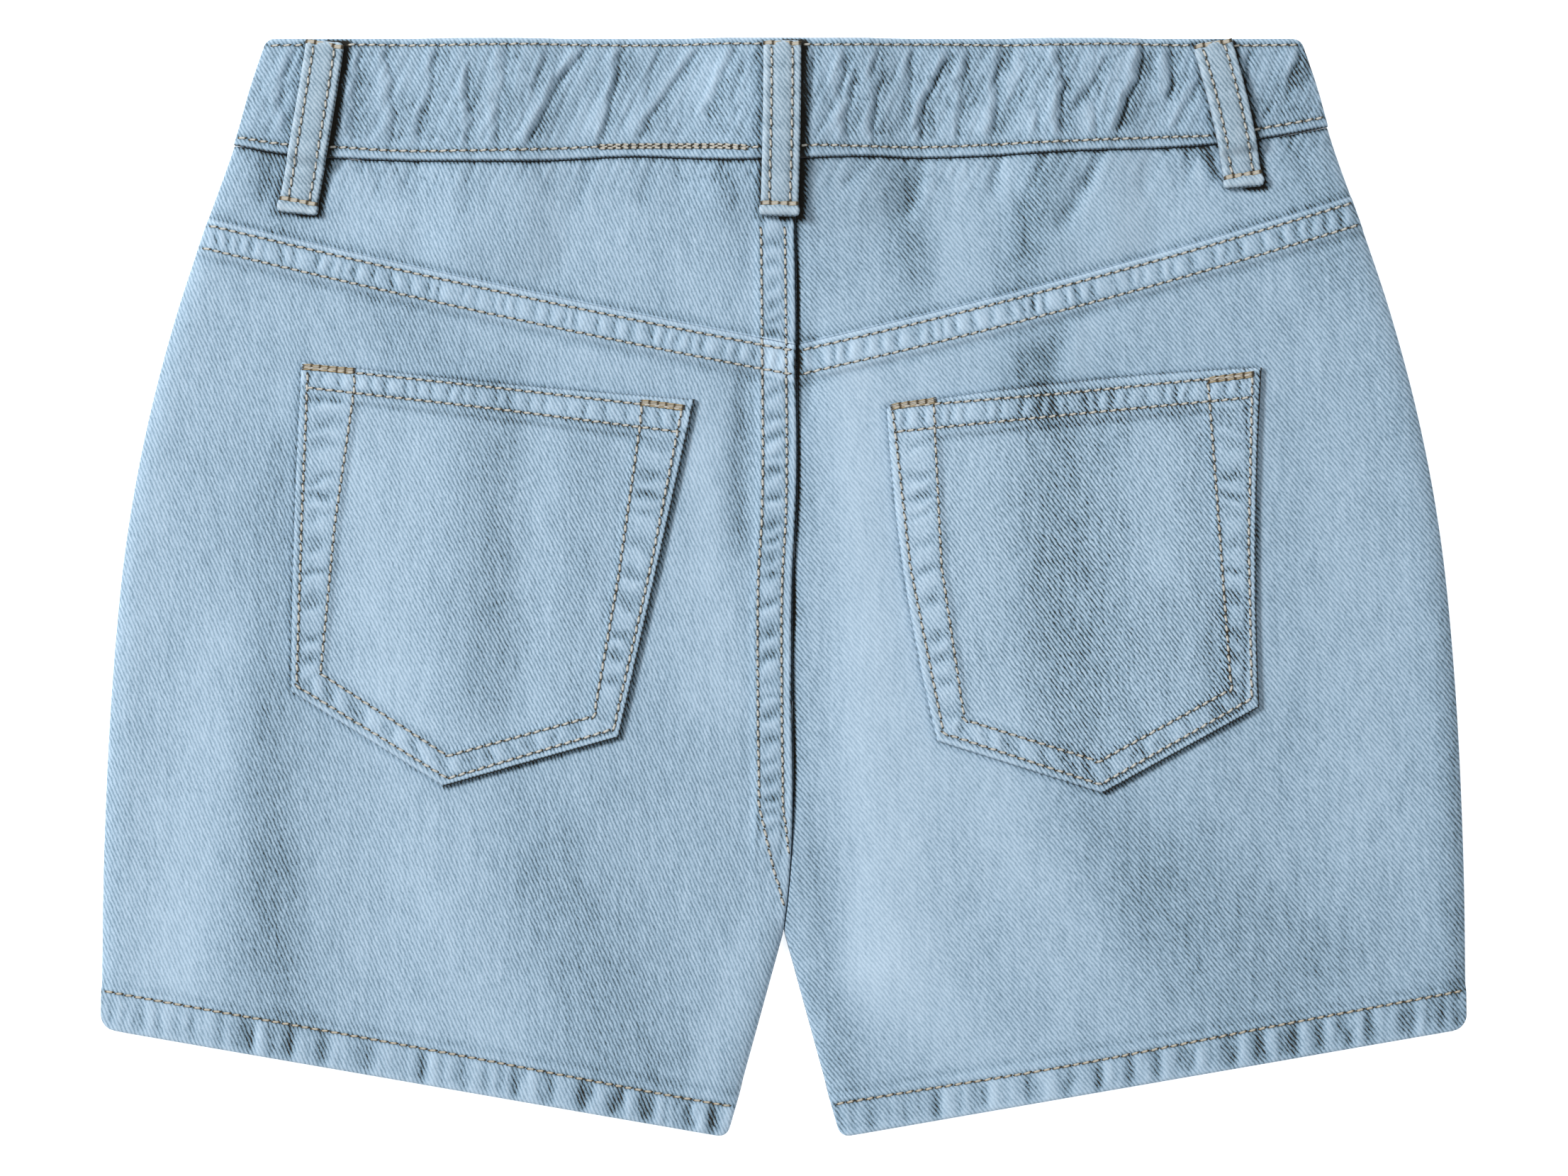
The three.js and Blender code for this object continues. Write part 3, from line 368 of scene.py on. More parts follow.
def spot(lift, x, down, reach):
    """A height inside a box, falling softly to nothing at a reach outside it."""
    at_x, at_down, half_width, half_height, height = lift
    dx = np.maximum(np.abs(x - at_x) - half_width, 0)
    dy = np.maximum(np.abs(down - at_down) - half_height, 0)
    return height * (1 - smoothstep(np.hypot(dx, dy), 0, reach))


def rise(x, down):
    return np.maximum.reduce([spot(lift, x, down, LIFT_REACH) for lift in LIFTS])


def folds(x, down):
    total = np.zeros(np.broadcast(x, down).shape)
    for from_x, from_down, to_x, to_down, width, height in FOLDS:
        along = (down - from_down) / (to_down - from_down)
        ends = smoothstep(along, -0.35, 0.2) * (1 - smoothstep(along, 0.8, 1.35))
        total += height * ends * bump(x, lerp(from_x, to_x, along), width)
    return total


def marks(rows, x, down):
    """The sum of soft marks, each drawn from one point to another."""
    total = np.zeros(np.broadcast(x, down).shape)
    for from_x, from_down, to_x, to_down, width, height in rows:
        run_x, run_down = to_x - from_x, to_down - from_down
        length = math.hypot(run_x, run_down)
        along = ((x - from_x) * run_x + (down - from_down) * run_down) / length
        off = ((x - from_x) * run_down - (down - from_down) * run_x) / length
        past = np.maximum(np.maximum(-along, along - length), 0)
        total += height * np.exp(-((off / width) ** 2) - (past / (1.5 * width)) ** 2)
    return total


def edge_distance(x, down):
    """How far the edge of the shorts is."""
    to_side = half(down) - np.abs(x)
    beside_leg = (np.abs(x) - leg_inner(down)) * math.cos(math.atan(LEG_SLOPE))
    to_leg = np.where(down > CROTCH_DOWN, beside_leg, np.hypot(x, CROTCH_DOWN - down))
    return np.maximum(np.minimum(to_side, to_leg), 0)


def roll(distance):
    return np.sqrt(1 - (1 - np.minimum(distance / EDGE_ROLL, 1)) ** 2)


def hem_share(x, down):
    return 1 - smoothstep(hem(x) - down, HEM_DEPTH, HEM_DEPTH + HEM_FADE)


def back_under(x, down, edge_height):
    height = BACK_HEIGHT + spot(UNDERLAP_LIFT, x, down, LIFT_REACH) + folds(x, down)
    return rise(x, down) + lerp(edge_height, height, roll(edge_distance(x, down)))


def panel_under(x, down):
    share = hem_share(x, down)
    lowest = lerp(WALL, HEM_WALL, share) + SEAM_GAP
    lowered = back_under(x, down, lowest) - (HEM_WALL - WALL) * 0.7 * share
    return np.maximum(lowered, rise(x, down) + lowest)


# Patches across before a cloud repeats, and how far in it starts.
CLOUD_PATCHES = 96
CLOUD_START = (48, 3)


def cloud(x, down, size, seed):
    """Smooth uneven values from -1 to 1, in patches of a given size."""
    dice = np.random.default_rng(seed).uniform(-1, 1, (CLOUD_PATCHES, CLOUD_PATCHES))
    across, along = x / size + CLOUD_START[0], down / size + CLOUD_START[1]
    i, j = np.floor(across).astype(int), np.floor(along).astype(int)
    u, v = across - i, along - j
    u, v = u * u * (3 - 2 * u), v * v * (3 - 2 * v)

    def pick(a, b):
        return dice[a % CLOUD_PATCHES, b % CLOUD_PATCHES]

    upper = lerp(pick(i, j), pick(i + 1, j), u)
    lower = lerp(pick(i, j + 1), pick(i + 1, j + 1), u)
    return lerp(upper, lower, v)


def pucker_line(period, seed, spread=0.18):
    """Uneven puckers along a seam, from trough -1 to crest, every 0.1 mm."""
    dice = np.random.default_rng(seed)
    places = np.arange(-260.0, 460.0, 0.1)
    values = np.zeros_like(places)
    at = places[0]
    while at < places[-1]:
        at += period * dice.uniform(0.65, 1.35)
        depth = dice.uniform(0.4, 1.0)
        values -= depth * bump(places, at, period * spread * dice.uniform(0.75, 1.25))
        values += 0.5 * depth * bump(places, at + 0.4 * period, 0.20 * period)
    return places, values + 0.15


PUCKERS = {
    "yoke": pucker_line(4.7, 11), "seat": pucker_line(6.2, 12, 0.25), "border": pucker_line(7.4, 13, 0.27),
    "pocket_top": pucker_line(4.8, 14), "band": pucker_line(4.0, 15), "loop": pucker_line(7.5, 16),
    "hem": pucker_line(4.9, 17, 0.2),
}


def puckers(seam, along):
    return np.interp(along, *PUCKERS[seam])


def rows_of(distance, places, width=0.6):
    """Grooves that rows of stitching pull into the cloth."""
    return sum(bump(distance, place, width) for place in places)


def seat_sewing(x, down):
    """The lapped seat seam: height, and wear with painted shade."""
    beside = seat(down) - x
    taper = 1 - smoothstep(down, CROTCH_DOWN - 34, CROTCH_DOWN - 12)
    past_band = smoothstep(beside, SEAM_BAND + 0.6, SEAM_BAND + BAND_FADE + 0.6)
    raised = np.where(beside < 0, 0, 1 - past_band) * taper
    inside = arch(beside, *SEAT_ROWS) * taper
    below = down - yoke_seam(x)
    crossing = smoothstep(beside, 0, 0.8) * (1 - smoothstep(beside, 9.4, 10.6))
    crossing = crossing * smoothstep(below, -1.2, -0.2) * (1 - smoothstep(below, 10.2, 11.6))
    wave = puckers("seat", down - 0.3 * beside + 1.3 * cloud(x, down, 4, 81)) * inside * (1 - crossing)
    groove = rows_of(beside, SEAT_ROWS) * taper
    fade = 1 - 0.9 * smoothstep(down, *SEAT_FLAT)
    tuck = np.where(beside < 0, np.exp(beside / SEAT_TUCK), 0) * fade * (1 + 0.5 * bump(down, 92, 16))
    edge = np.where(beside > 0, bump(beside, 0.7, 0.8), 0)
    # The painted shadow beside the lapped edge, wavy, and wider where the yoke seam crosses.
    lap_width = 0.5 + 0.12 * np.sin(down / 5) + 0.5 * bump(down, 92.5, 5)
    under_lap = bump(beside - 0.25 * np.sin(down / 7), -0.3, lap_width) * fade
    # Painted shade in the stitch grooves and the tuck, and the painted shadow under the lapped edge; the
    # puckers darker in their troughs and paler on their crests, partly wear and partly painted shade.
    worn = 1.5 * wave + 0.45 * edge - 0.85 * groove - 0.7 * tuck - SEAT_LAP_SHADOW * under_lap + 0.8 * crossing
    height = 0.55 * wave + 0.25 * edge * taper - 0.22 * groove - 0.95 * tuck + 0.3 * crossing
    return height, worn, raised


def yoke_sewing(x, down):
    """The lapped yoke seam: height, and wear with painted shade."""
    below = down - yoke_seam(x)
    on_panel = below > -SEAM_GAP
    raised = np.where(on_panel, 1 - smoothstep(below, SEAM_BAND, SEAM_BAND + BAND_FADE), 0)
    lean = np.where(x < seat(YOKE_CENTRE_DOWN), 0.12, -0.12)
    inside = arch(below, *YOKE_ROWS) * on_panel
    gain = 1.1 + 0.6 * bump(x, 68, 14)
    wave = gain * puckers("yoke", x + lean * below + 0.7 * cloud(x, down, 4, 83)) * inside
    groove = rows_of(below, YOKE_ROWS) * on_panel
    edge = bump(below, 0.5, 0.8) * on_panel
    beneath = bump(below, SEAM_BAND + 2.0, 1.4) * on_panel
    above = np.where(on_panel, 0, bump(below, -0.4, 1.8))
    # Painted shade in the stitch grooves, below the raised seam band and on the yoke above the lapped edge;
    # the puckers darker in their troughs and paler on their crests, partly wear and partly painted shade.
    worn = 1.4 * wave + 0.55 * edge - 0.85 * groove - 0.40 * beneath - 0.65 * above
    return 0.50 * wave - 0.20 * groove, worn, raised


def hem_sewing(x, down):
    """The turned hem: height, and wear with painted shade."""
    above = hem(x) - down
    row = hem_row(x)
    inside = np.where(above < row, np.sin(math.pi * np.clip(above / row, 0, 1)) ** 0.4, 0)
    wave = np.zeros(np.broadcast(x, down).shape)
    for at, depth in HEM_PUCKERS:
        middle = at + HEM_LEAN * math.copysign(1, -at) * (above - 5) + 0.8 * cloud(x, down, 5, 89)
        wave += depth * (0.55 * bump(x, middle + 3.2, 1.9) - 0.75 * bump(x, middle, 1.9))
    wave += 0.35 * puckers("hem", x + 0.8 * cloud(x, down, 5, 89))
    groove = rows_of(above, [row])
    imprint_shadow = bump(above, HEM_DEPTH + 2.4, 1.2)
    # Painted shade in the stitch groove and along the imprint of the turned edge; the puckers darker in their
    # troughs and paler on their crests, partly wear and partly painted shade.
    worn = (2.0 * wave - 0.12) * inside - 0.85 * groove - 0.30 * imprint_shadow + 0.35 * bump(above, 0.5, 1.2)
    return 0.75 * wave * inside - 0.22 * groove, worn


def slack(x, down, seed):
    """The slight unevenness of cloth that has been washed."""
    return 0.10 * cloud(x, down, 14, seed) + 0.05 * cloud(x, down, 5, seed + 1)


def mottle(x, down, seed):
    """Patches that the wash has left paler or darker."""
    return sum(share * cloud(x, 0.5 * down, size, seed + k)
               for k, (size, share) in enumerate(((26, 0.08), (9, 0.06), (4.2, 0.06), (2.2, 0.08))))


def crinkles(x, down, width, length, seed):
    """Small wandering troughs that run down the cloth, from 0 to 1."""
    drift = 1.6 * cloud(x, down, 8, seed)
    stretched = cloud((x + drift) * length / width, down, length, seed + 1)
    return (1 - smoothstep(np.abs(stretched), 0, 0.26)) * smoothstep(cloud(x, down, 13, seed + 2), -0.6, 0.4)


def pocket_shadow(x, down):
    """The dark line round the pockets, deeper on the side away from the light, from 0 to 1."""
    total = np.zeros(np.broadcast(x, down).shape)
    for pocket in POCKETS.values():
        inside, edge = inside_of(pocket_outline(pocket), x, down)
        total = np.maximum(total, EDGE_SHADOWS[edge] * np.exp(-((np.maximum(-inside, 0) / 0.9) ** 2)))
    return total


def loop_shadow(x, down):
    """The painted shadow beside and below the belt loops, from 0 to 1."""
    total = np.zeros(np.broadcast(x, down).shape)
    for loop in LOOPS.values():
        end, reach = loop[3:]
        off = x - loop_line(loop)(np.clip((down - LOOP_TOP) / (end - LOOP_TOP), 0, 1))
        beside = np.maximum(np.abs(off) - LOOP_WIDTH / 2, 0)
        past = np.maximum(down - end, 0)
        share = np.where(off > 0, 1.0, LIT_SIDE_SHADOW)
        total = np.maximum(total, share * np.exp(-((beside / reach) ** 3) - (past / 1.0) ** 2))
    return total * smoothstep(down, 0, LOOP_TOP)


def back_face(x, down):
    """The outer face of a back panel: height, and wear with painted light and shade."""
    seat_height, seat_worn, seat_raised = seat_sewing(x, down)
    yoke_height, yoke_worn, yoke_raised = yoke_sewing(x, down)
    hem_height, hem_worn = hem_sewing(x, down)
    calm = roll(edge_distance(x, down))
    pressed = marks(CREASES, x, down)
    height = panel_under(x, down) + lerp(WALL, HEM_WALL, hem_share(x, down))
    height = height + SEAM_RAISE * np.maximum(yoke_raised, seat_raised)
    height = height + seat_height + yoke_height + hem_height + (pressed + slack(x, down, 21)) * calm
    height = np.maximum(height, panel_under(x, down) + LEAST_WALL)
    # Painted shade in the pressed creases, the painted light and shade of the wash table, and the painted
    # shadows beside the pockets and the loops.
    worn = seat_worn + yoke_worn + hem_worn + 0.5 * pressed + marks(WASH_AND_SHADE, x, down) + mottle(x, down, 31)
    worn = worn - POCKET_SHADOW_DARK * pocket_shadow(x, down) - LOOP_SHADOW_DARK * loop_shadow(x, down)
    return height, worn


def back_height(x, down):
    return back_face(x, down)[0]


def yoke_face(x, down):
    """The outer face of a yoke: height, and wear with painted light and shade."""
    above_seam = np.minimum(down, yoke_seam(x) - 1)
    seat_height, seat_worn, seat_raised = seat_sewing(x, down)
    _, yoke_worn, _ = yoke_sewing(x, down)
    from_band = down - band_edge(x)
    near_band = np.exp(-np.maximum(from_band, 0) / 7.0)
    pull = (0.6 * puckers("band", x + 0.5 * from_band) - 1.1 * crinkles(x, down, 2.4, 9, 61)) * near_band
    pressed = marks(CREASES, x, down)
    calm = roll(edge_distance(x, above_seam))
    height = panel_under(x, down) + WALL + SEAM_RAISE * seat_raised + seat_height
    height = height + (1.2 * pressed + 0.45 * pull + slack(x, down, 23)) * calm
    height = np.maximum(height, panel_under(x, down) + LEAST_WALL)
    # Painted shade in the creases and in the crinkles that the waistband pulls, the painted light and shade
    # of the wash table, and the painted shadows under the waistband's lower edge and beside the loops.
    worn = seat_worn + yoke_worn + 1.2 * pressed + 0.80 * pull + marks(WASH_AND_SHADE, x, down) + mottle(x, down, 33)
    worn = worn - BAND_LAP_SHADOW * bump(from_band, 0, 0.9) - LOOP_SHADOW_DARK * loop_shadow(x, down)
    return height, worn


def band_under(x, down):
    return back_under(x, down, BAND_WALL + SEAM_GAP)


def gathers(x, down):
    """Troughs of the gathered waistband, the fine creases in them, and beside each trough a painted highlight
    on its left, towards the light, and painted shade on its right.
    """
    wandering = x + 0.9 * cloud(x, down, 6, 42) + 0.4 * cloud(x, down, 2.4, 44)
    dips = np.zeros(np.broadcast(x, down).shape)
    fine = np.zeros(dips.shape)
    crest_light_and_shade = np.zeros(dips.shape)
    for upper, middle, lower, start, end, depth in GATHERS:
        t = np.clip((down - start) / (end - start), 0, 1)
        line = through(upper, middle, lower, t)
        ends = smoothstep(down, start - 4, start + 1) * (1 - smoothstep(down, end - 1, end + 4))
        dips += depth * ends * (0.55 * bump(wandering, line, 1.7) - 0.42 * bump(wandering, line - 2.6, 1.7))
        fine += depth * ends * bump(wandering, line, 0.55)
        crest_light_and_shade += depth * ends * (bump(wandering, line - 2.0, 1.2) - 0.7 * bump(wandering, line + 1.8, 1.6))
    return dips, fine, crest_light_and_shade


def band_face(x, down):
    """The outer face of the back waistband: height, and wear with painted light and shade."""
    to_edge = band_edge(x) - down
    to_row = band_row(x) - down
    from_edge = np.minimum(down, to_edge + 1.2)
    crown = 0.8 * (1 - np.minimum(from_edge / 2.2, 1)) ** 2
    free = smoothstep(down, 1.4, 5) * smoothstep(to_row, 0.6, 4.5)
    dips, fine, crest_light_and_shade = gathers(x, down)
    fine = fine + 0.5 * crinkles(x + 0.2 * down, down, 3.0, 8, 71)
    fine = fine + 0.4 * crinkles(x - 0.5 * down, down, 2.4, 4, 76)
    fine = fine * lerp(0.4, 1, free)
    rolls = cloud(x + 0.6 * down, 0.5 * down, 6, 45) * free
    strength = np.where(x < 0, 0.8, 1.0)
    fine, crest_light_and_shade, rolls = strength * fine, strength * crest_light_and_shade, strength * rolls
    pulled = np.minimum(dips * np.where(x < 0, 1.0, 1.15) + 0.45 * fine, 1.6) * lerp(0.35, 1, free)
    ripple = puckers("band", x + 0.45 * down + 2 * cloud(x, down, 20, 41)) * 0.22 * lerp(0.6, 1, free)
    groove = rows_of(down, [BAND_TOP_ROW], 0.7) + rows_of(to_row, [0], 0.8)
    height = band_under(x, down) + BAND_WALL + 0.5 - crown - pulled + ripple - 0.25 * groove
    height = height + 0.05 * cloud(x, down, 4, 43) + 0.12 * rolls
    # Painted light and shade: highlights on the gathers' crests and on the rolls, shade in the troughs, fine
    # creases and stitch grooves, and the ripple partly wear and partly painted light and shade.
    worn = 0.55 * crest_light_and_shade * free + 0.35 * rolls - 0.20 * pulled - 0.75 * fine
    worn = worn + 0.9 * ripple - 0.8 * groove + 0.50 * bump(to_edge, 0.4, 0.8)
    worn = worn + 0.35 * bump(down, 0.3, 0.9) + marks(WASH_AND_SHADE, x, down) * 0.5 + mottle(x, down, 35) - 0.10
    return height, worn - LOOP_SHADOW_DARK * loop_shadow(x, down)


def band_height(x, down):
    return band_face(x, down)[0]


def inside_of(outline, x, down):
    """How far inside a convex outline a point lies, and which of its edges is nearest."""
    points = np.array(outline, float)
    middle = points.mean(axis=0)
    nearest = np.full(np.broadcast(x, down).shape, 1e9)
    edge = np.zeros(nearest.shape, int)
    for i in range(len(points)):
        a, b = points[i], points[(i + 1) % len(points)]
        normal = np.array([b[1] - a[1], a[0] - b[0]]) / math.hypot(*(b - a))
        if (middle - a) @ normal < 0:
            normal = -normal
        distance = (x - a[0]) * normal[0] + (down - a[1]) * normal[1]
        edge = np.where(distance < nearest, i, edge)
        nearest = np.minimum(nearest, distance)
    return nearest, edge


def pocket_outline(pocket):
    """The corners of a pocket with the middles of its bowed edges, clockwise from the top left."""
    top_left, top_right, bottom_right, tip, bottom_left = [np.array(c) for c in pocket["corners"]]
    bows = pocket["bows"]
    return [top_left, (top_left + top_right) / 2 + (0, bows["top"]), top_right,
            (top_right + bottom_right) / 2 + (bows["right"], 0), bottom_right, tip, bottom_left,
            (top_left + bottom_left) / 2 + (bows["left"], 0)]


def pocket_face(pocket):
    """The outer face of a pocket: height, and wear with painted shade."""
    outline = pocket_outline(pocket)
    sides = outline[2:] + [outline[0]]
    inner = pocket["inner"][1:-1]
    second = pocket["second"]
    top = pocket["top"]

    def face(x, down):
        from_inner, edge = inside_of(inner, x, down)
        from_side, _ = inside_of([*sides, (sides[-1] + sides[0]) / 2 - (0, 60)], x, down)
        second_down = np.interp(x, [p[0] for p in second], [p[1] for p in second])
        top_down = np.interp(x, [p[0] for p in top], [p[1] for p in top])
        below = down - second_down
        raised = 1 - smoothstep(np.minimum(from_inner - 0.6, below - 2.0), 0, 1.4)
        along = np.where((edge == 2) | (edge == 3), x, down)
        border = np.clip(-from_inner / np.maximum(from_side - from_inner - 2.2, 1), 0, 1)
        wave = puckers("border", along + 0.25 * from_inner + 1.6 * cloud(x, down, 4, 85))
        wave = wave * np.sin(math.pi * border) * smoothstep(below, 0, 4)
        top_wave = puckers("pocket_top", x + 0.05 * (down - top_down) + 0.6 * cloud(x, down, 4, 87))
        top_wave = top_wave * arch(down, top_down, second_down)
        groove = rows_of(from_side, [POCKET_ROW]) * smoothstep(from_side, 0.4, 1.2) + rows_of(from_inner, [0])
        groove = np.maximum(groove * (below > -14), rows_of(down - top_down, [0]) + rows_of(below, [0]))
        edge_worn = bump(from_side, 0.4, 1.0) + 0.8 * bump(top_down - down, 1.8, 1.0)
        height = back_height(x, down) + 0.14 + WALL + POCKET_RAISE * raised
        height = height + 0.40 * wave + 0.38 * top_wave - 0.18 * groove
        imprint_shadow = bump(below, 3.0, 1.0) + 0.6 * bump(from_inner, 1.3, 0.9) * (below > 0)
        # Painted shade in the stitch grooves and along the imprints of the turned borders; the puckers darker
        # in their troughs and paler on their crests, partly wear and partly painted shade.
        worn = 1.25 * wave + 1.4 * top_wave - 0.85 * groove + 0.40 * edge_worn - 0.45 * imprint_shadow
        worn = worn + marks(WASH_AND_SHADE, x, down) + mottle(x, down, 37)
        return height, worn

    return face


def softened(height, distance, wall, reach=0.9):
    """A face's height with its edge turned over softly."""
    share = np.clip(distance / reach, 0, 1)
    return height - 0.5 * wall * (1 - np.sqrt(1 - (1 - share) ** 2))


# Meshes


def stations(length, step, edge=(0.25, 0.7), near=None, far=None):
    """Fractions along a piece, odd in number: evenly spaced, but close at its edges and in a near
    and a far stretch, each given by its reach and its step."""
    places = [0, *edge]
    if near:
        reach, close = near
        places += list(np.arange(edge[-1] + close, reach, close))
    end = [length - distance for distance in reversed((0, *edge))]
    if far:
        reach, close = far
        end = list(np.arange(end[0] - close, length - reach, -close))[::-1] + end
    count = max(int(round((end[0] - places[-1]) / step)), 2)
    places += list(np.linspace(places[-1], end[0], count + 1)[1:-1]) + end
    if len(places) % 2 == 0:
        at = len(places) // 2
        places.insert(at, (places[at - 1] + places[at]) / 2)
    return np.array(places) / length


def make_mesh(name, points, faces, **shades):
    """A smooth mesh from points in millimetres, with its faces outwards and its shades by point."""
    mesh = bpy.data.meshes.new(name)
    mesh.from_pydata((np.asarray(points, float) * METRE).tolist(), [], faces)
    for label, values in shades.items():
        layer = mesh.attributes.new(label, "FLOAT", "POINT")
        layer.data.foreach_set("value", np.asarray(values, np.float32).ravel())
    mesh.polygons.foreach_set("use_smooth", [True] * len(mesh.polygons))
    mesh.update()
    piece = bpy.data.objects.new(name, mesh)
    bpy.context.scene.collection.objects.link(piece)
    return piece


def shell(name, plan, columns, rows, face, lining, worn_side_up=True):
    """A closed wall of cloth: a fine outer face, and a lining side with every second point."""
    u, v = np.meshgrid(columns, rows)
    x, down = plan(u, v)
    height, worn = face(x, down, u, v)
    lower_u, lower_v = np.meshgrid(columns[::2], rows[::2])
    lower_x, lower_down = plan(lower_u, lower_v)
    lower_height = lining(lower_x, lower_down, lower_u, lower_v)
    fine = np.stack([x, to_y(down), height], axis=-1).reshape(-1, 3)
    coarse = np.stack([lower_x, to_y(lower_down), lower_height], axis=-1).reshape(-1, 3)
    points = np.concatenate([fine, coarse])

    def grid(shape, start):
        index = start + np.arange(shape[0] * shape[1]).reshape(shape)
        quads = np.stack([index[:-1, :-1], index[1:, :-1], index[1:, 1:], index[:-1, 1:]], axis=-1)
        border = np.concatenate([index[0, :-1], index[:-1, -1], index[-1, :0:-1], index[:0:-1, 0]])
        return quads.reshape(-1, 4), border

    fine_quads, fine_border = grid(x.shape, 0)
    coarse_quads, coarse_border = grid(lower_x.shape, len(fine))
    corner = np.roll(fine_border, -1)[::2]
    start, after = fine_border[::2], np.roll(fine_border, -2)[::2]
    below, below_next = coarse_border, np.roll(coarse_border, -1)
    side = np.concatenate([np.stack([start, corner, below], axis=-1),
                           np.stack([corner, after, below_next], axis=-1),
                           np.stack([corner, below_next, below], axis=-1)])
    coarse_quads = coarse_quads[:, ::-1]
    if not worn_side_up:
        fine_quads, coarse_quads, side = fine_quads[:, ::-1], coarse_quads[:, ::-1], side[:, ::-1]
    faces = fine_quads.tolist() + coarse_quads.tolist() + side.tolist()
    shades = np.concatenate([worn.ravel(), np.full(len(coarse), -0.2)])
    return make_mesh(name, points, faces, worn=shades)


def patch(top, bottom, left, right):
    """A plan between four edges, each a function from 0 to 1 that gives x and down."""
    def plan(u, v):
        result = []
        for axis in (0, 1):
            spans = lerp(top(u)[axis], bottom(u)[axis], v) + lerp(left(v)[axis], right(v)[axis], u)
            upper = lerp(top(0.0)[axis], top(1.0)[axis], u)
            lower = lerp(bottom(0.0)[axis], bottom(1.0)[axis], u)
            result.append(spans - lerp(upper, lower, v))
        return result
    return plan


def between(top, bottom, left, right):
    """A plan between two seams, from one upright edge to another."""
    def upright(across):
        start, end = meet(top, across), meet(bottom, across)

        def edge(v):
            down = lerp(start, end, v)
            return across(down), down
        return edge

    left_edge, right_edge = upright(left), upright(right)

    def level(seam, v):
        def edge(u):
            x = lerp(left_edge(v)[0], right_edge(v)[0], u)
            return x, seam(x)
        return edge
    return patch(level(top, 0.0), level(bottom, 1.0), left_edge, right_edge)


def round_hem(plan, side):
    """A leg's plan with the two corners of its hem rounded."""
    middle = (HEM_CORNER_X + half(HEM_CENTRE_DOWN)) / 2
    reach = half(HEM_CENTRE_DOWN) - middle

    def rounded(u, v):
        x, down = plan(u, v)
        off = (np.abs(x) - middle) / reach
        radius = np.where(off > 0, OUTER_CORNER, INNER_CORNER)
        above = np.maximum(hem(x) - down, 0)
        inset = radius - np.sqrt(radius ** 2 - np.maximum(radius - above, 0) ** 2)
        moved = side * (np.abs(x) - off * inset)
        near = above < radius
        return np.where(near, moved, x), np.where(near, hem(moved) - above, down)
    return rounded


def round_waist(plan):
    """A waistband's plan with its two upper corners rounded."""
    def rounded(u, v):
        x, down = plan(u, v)
        depth = np.maximum(WAIST_CORNER - down, 0)
        inset = WAIST_CORNER - np.sqrt(np.maximum(WAIST_CORNER ** 2 - depth ** 2, 0))
        return x * (1 - inset / half(0)), down
    return rounded


def side_edge(side):
    return lambda down: side * half(down)


def inner_edge(side, seam, gap):
    """A leg's inner edge: beside a centre seam down to the crotch, then along the inner leg."""
    def edge(down):
        along_leg = side * (leg_inner(down) + gap / 2)
        return np.where(np.asarray(down) < CROTCH_DOWN, seam(down) + side * gap / 2, along_leg)
    return edge


def front_seam(down):
    return FRONT_SEAM_X * (1 - smoothstep(down, 170, CROTCH_DOWN))


def leg_plan(side, top, seam, gap=SEAM_GAP):
    """A leg's outline, whose last rows run beside the hem, and its length."""
    inner = inner_edge(side, seam, gap)
    deep = meet(hem, leg_inner) - meet(top, seam)
    edges = (side_edge(side), inner) if side < 0 else (inner, side_edge(side))
    whole = between(top, hem, *edges)

    def hemmed(u, v):
        x, down = whole(u, v)
        above = (1 - v) * deep
        return x, np.where(above > HEM_DEPTH + HEM_FADE + 1, down, hem(x) - above)
    return round_hem(hemmed, side), deep


def back_panel(name, side):
    plan, deep = leg_plan(side, lambda x: yoke_seam(x) + LAP_GAP, seat)

    def face(x, down, u, v):
        height, worn = back_face(x, down)
        to_hem = (1 - v) * deep
        to_seam = np.minimum(np.minimum(v * deep, to_hem), (1 - u if side < 0 else u) * LEG_WIDTH)
        return softened(height, to_seam, WALL), worn

    beside_seat = {"far": (SEAM_BAND + 4, 0.5)} if side < 0 else {"near": (5, 0.5)}
    columns = stations(LEG_WIDTH, CLOTH_STEP, **beside_seat)
    rows = stations(deep, CLOTH_STEP, near=(SEAM_BAND + 3, 0.45), far=(HEM_DEPTH + 3, 0.5))
    return shell(name, plan, columns, rows, face, lambda x, down, u, v: panel_under(x, down))


def yoke_piece(name, side):
    top = lambda x: band_edge(x) + SEAM_GAP
    bottom = lambda x: yoke_seam(x) - LAP_GAP
    inner = lambda down: seat(down) + side * SEAM_GAP / 2
    edges = (side_edge(side), inner) if side < 0 else (inner, side_edge(side))
    plan = between(top, bottom, *edges)
    width = float(half(YOKE_CENTRE_DOWN / 2))

    def face(x, down, u, v):
        height, worn = yoke_face(x, down)
        to_seam = (1 - u if side < 0 else u) * width
        return softened(height, to_seam, WALL), worn

    return shell(name, plan, stations(width, 0.7), stations(50.0, 0.8, near=(14, 0.5)), face,
                 lambda x, down, u, v: panel_under(x, down))


def back_band(name):
    width = float(2 * half(0))
    plan = round_waist(between(lambda x: 0 * x, band_edge, side_edge(-1), side_edge(1)))
    rows = stations(35.0, 0.52, edge=(0.2, 0.5, 0.9))

    def face(x, down, u, v):
        height, worn = band_face(x, down)
        to_seam = band_edge(x) - down
        # Painted shade on the rim where the band's lower edge turns over.
        worn = worn - BAND_RIM_SHADE * bump(to_seam, 0, RIM)
        return softened(height, np.minimum(down, to_seam), BAND_WALL, 1.1), worn

    return shell(name, plan, stations(width, 0.5), rows, face,
                 lambda x, down, u, v: band_under(x, down))


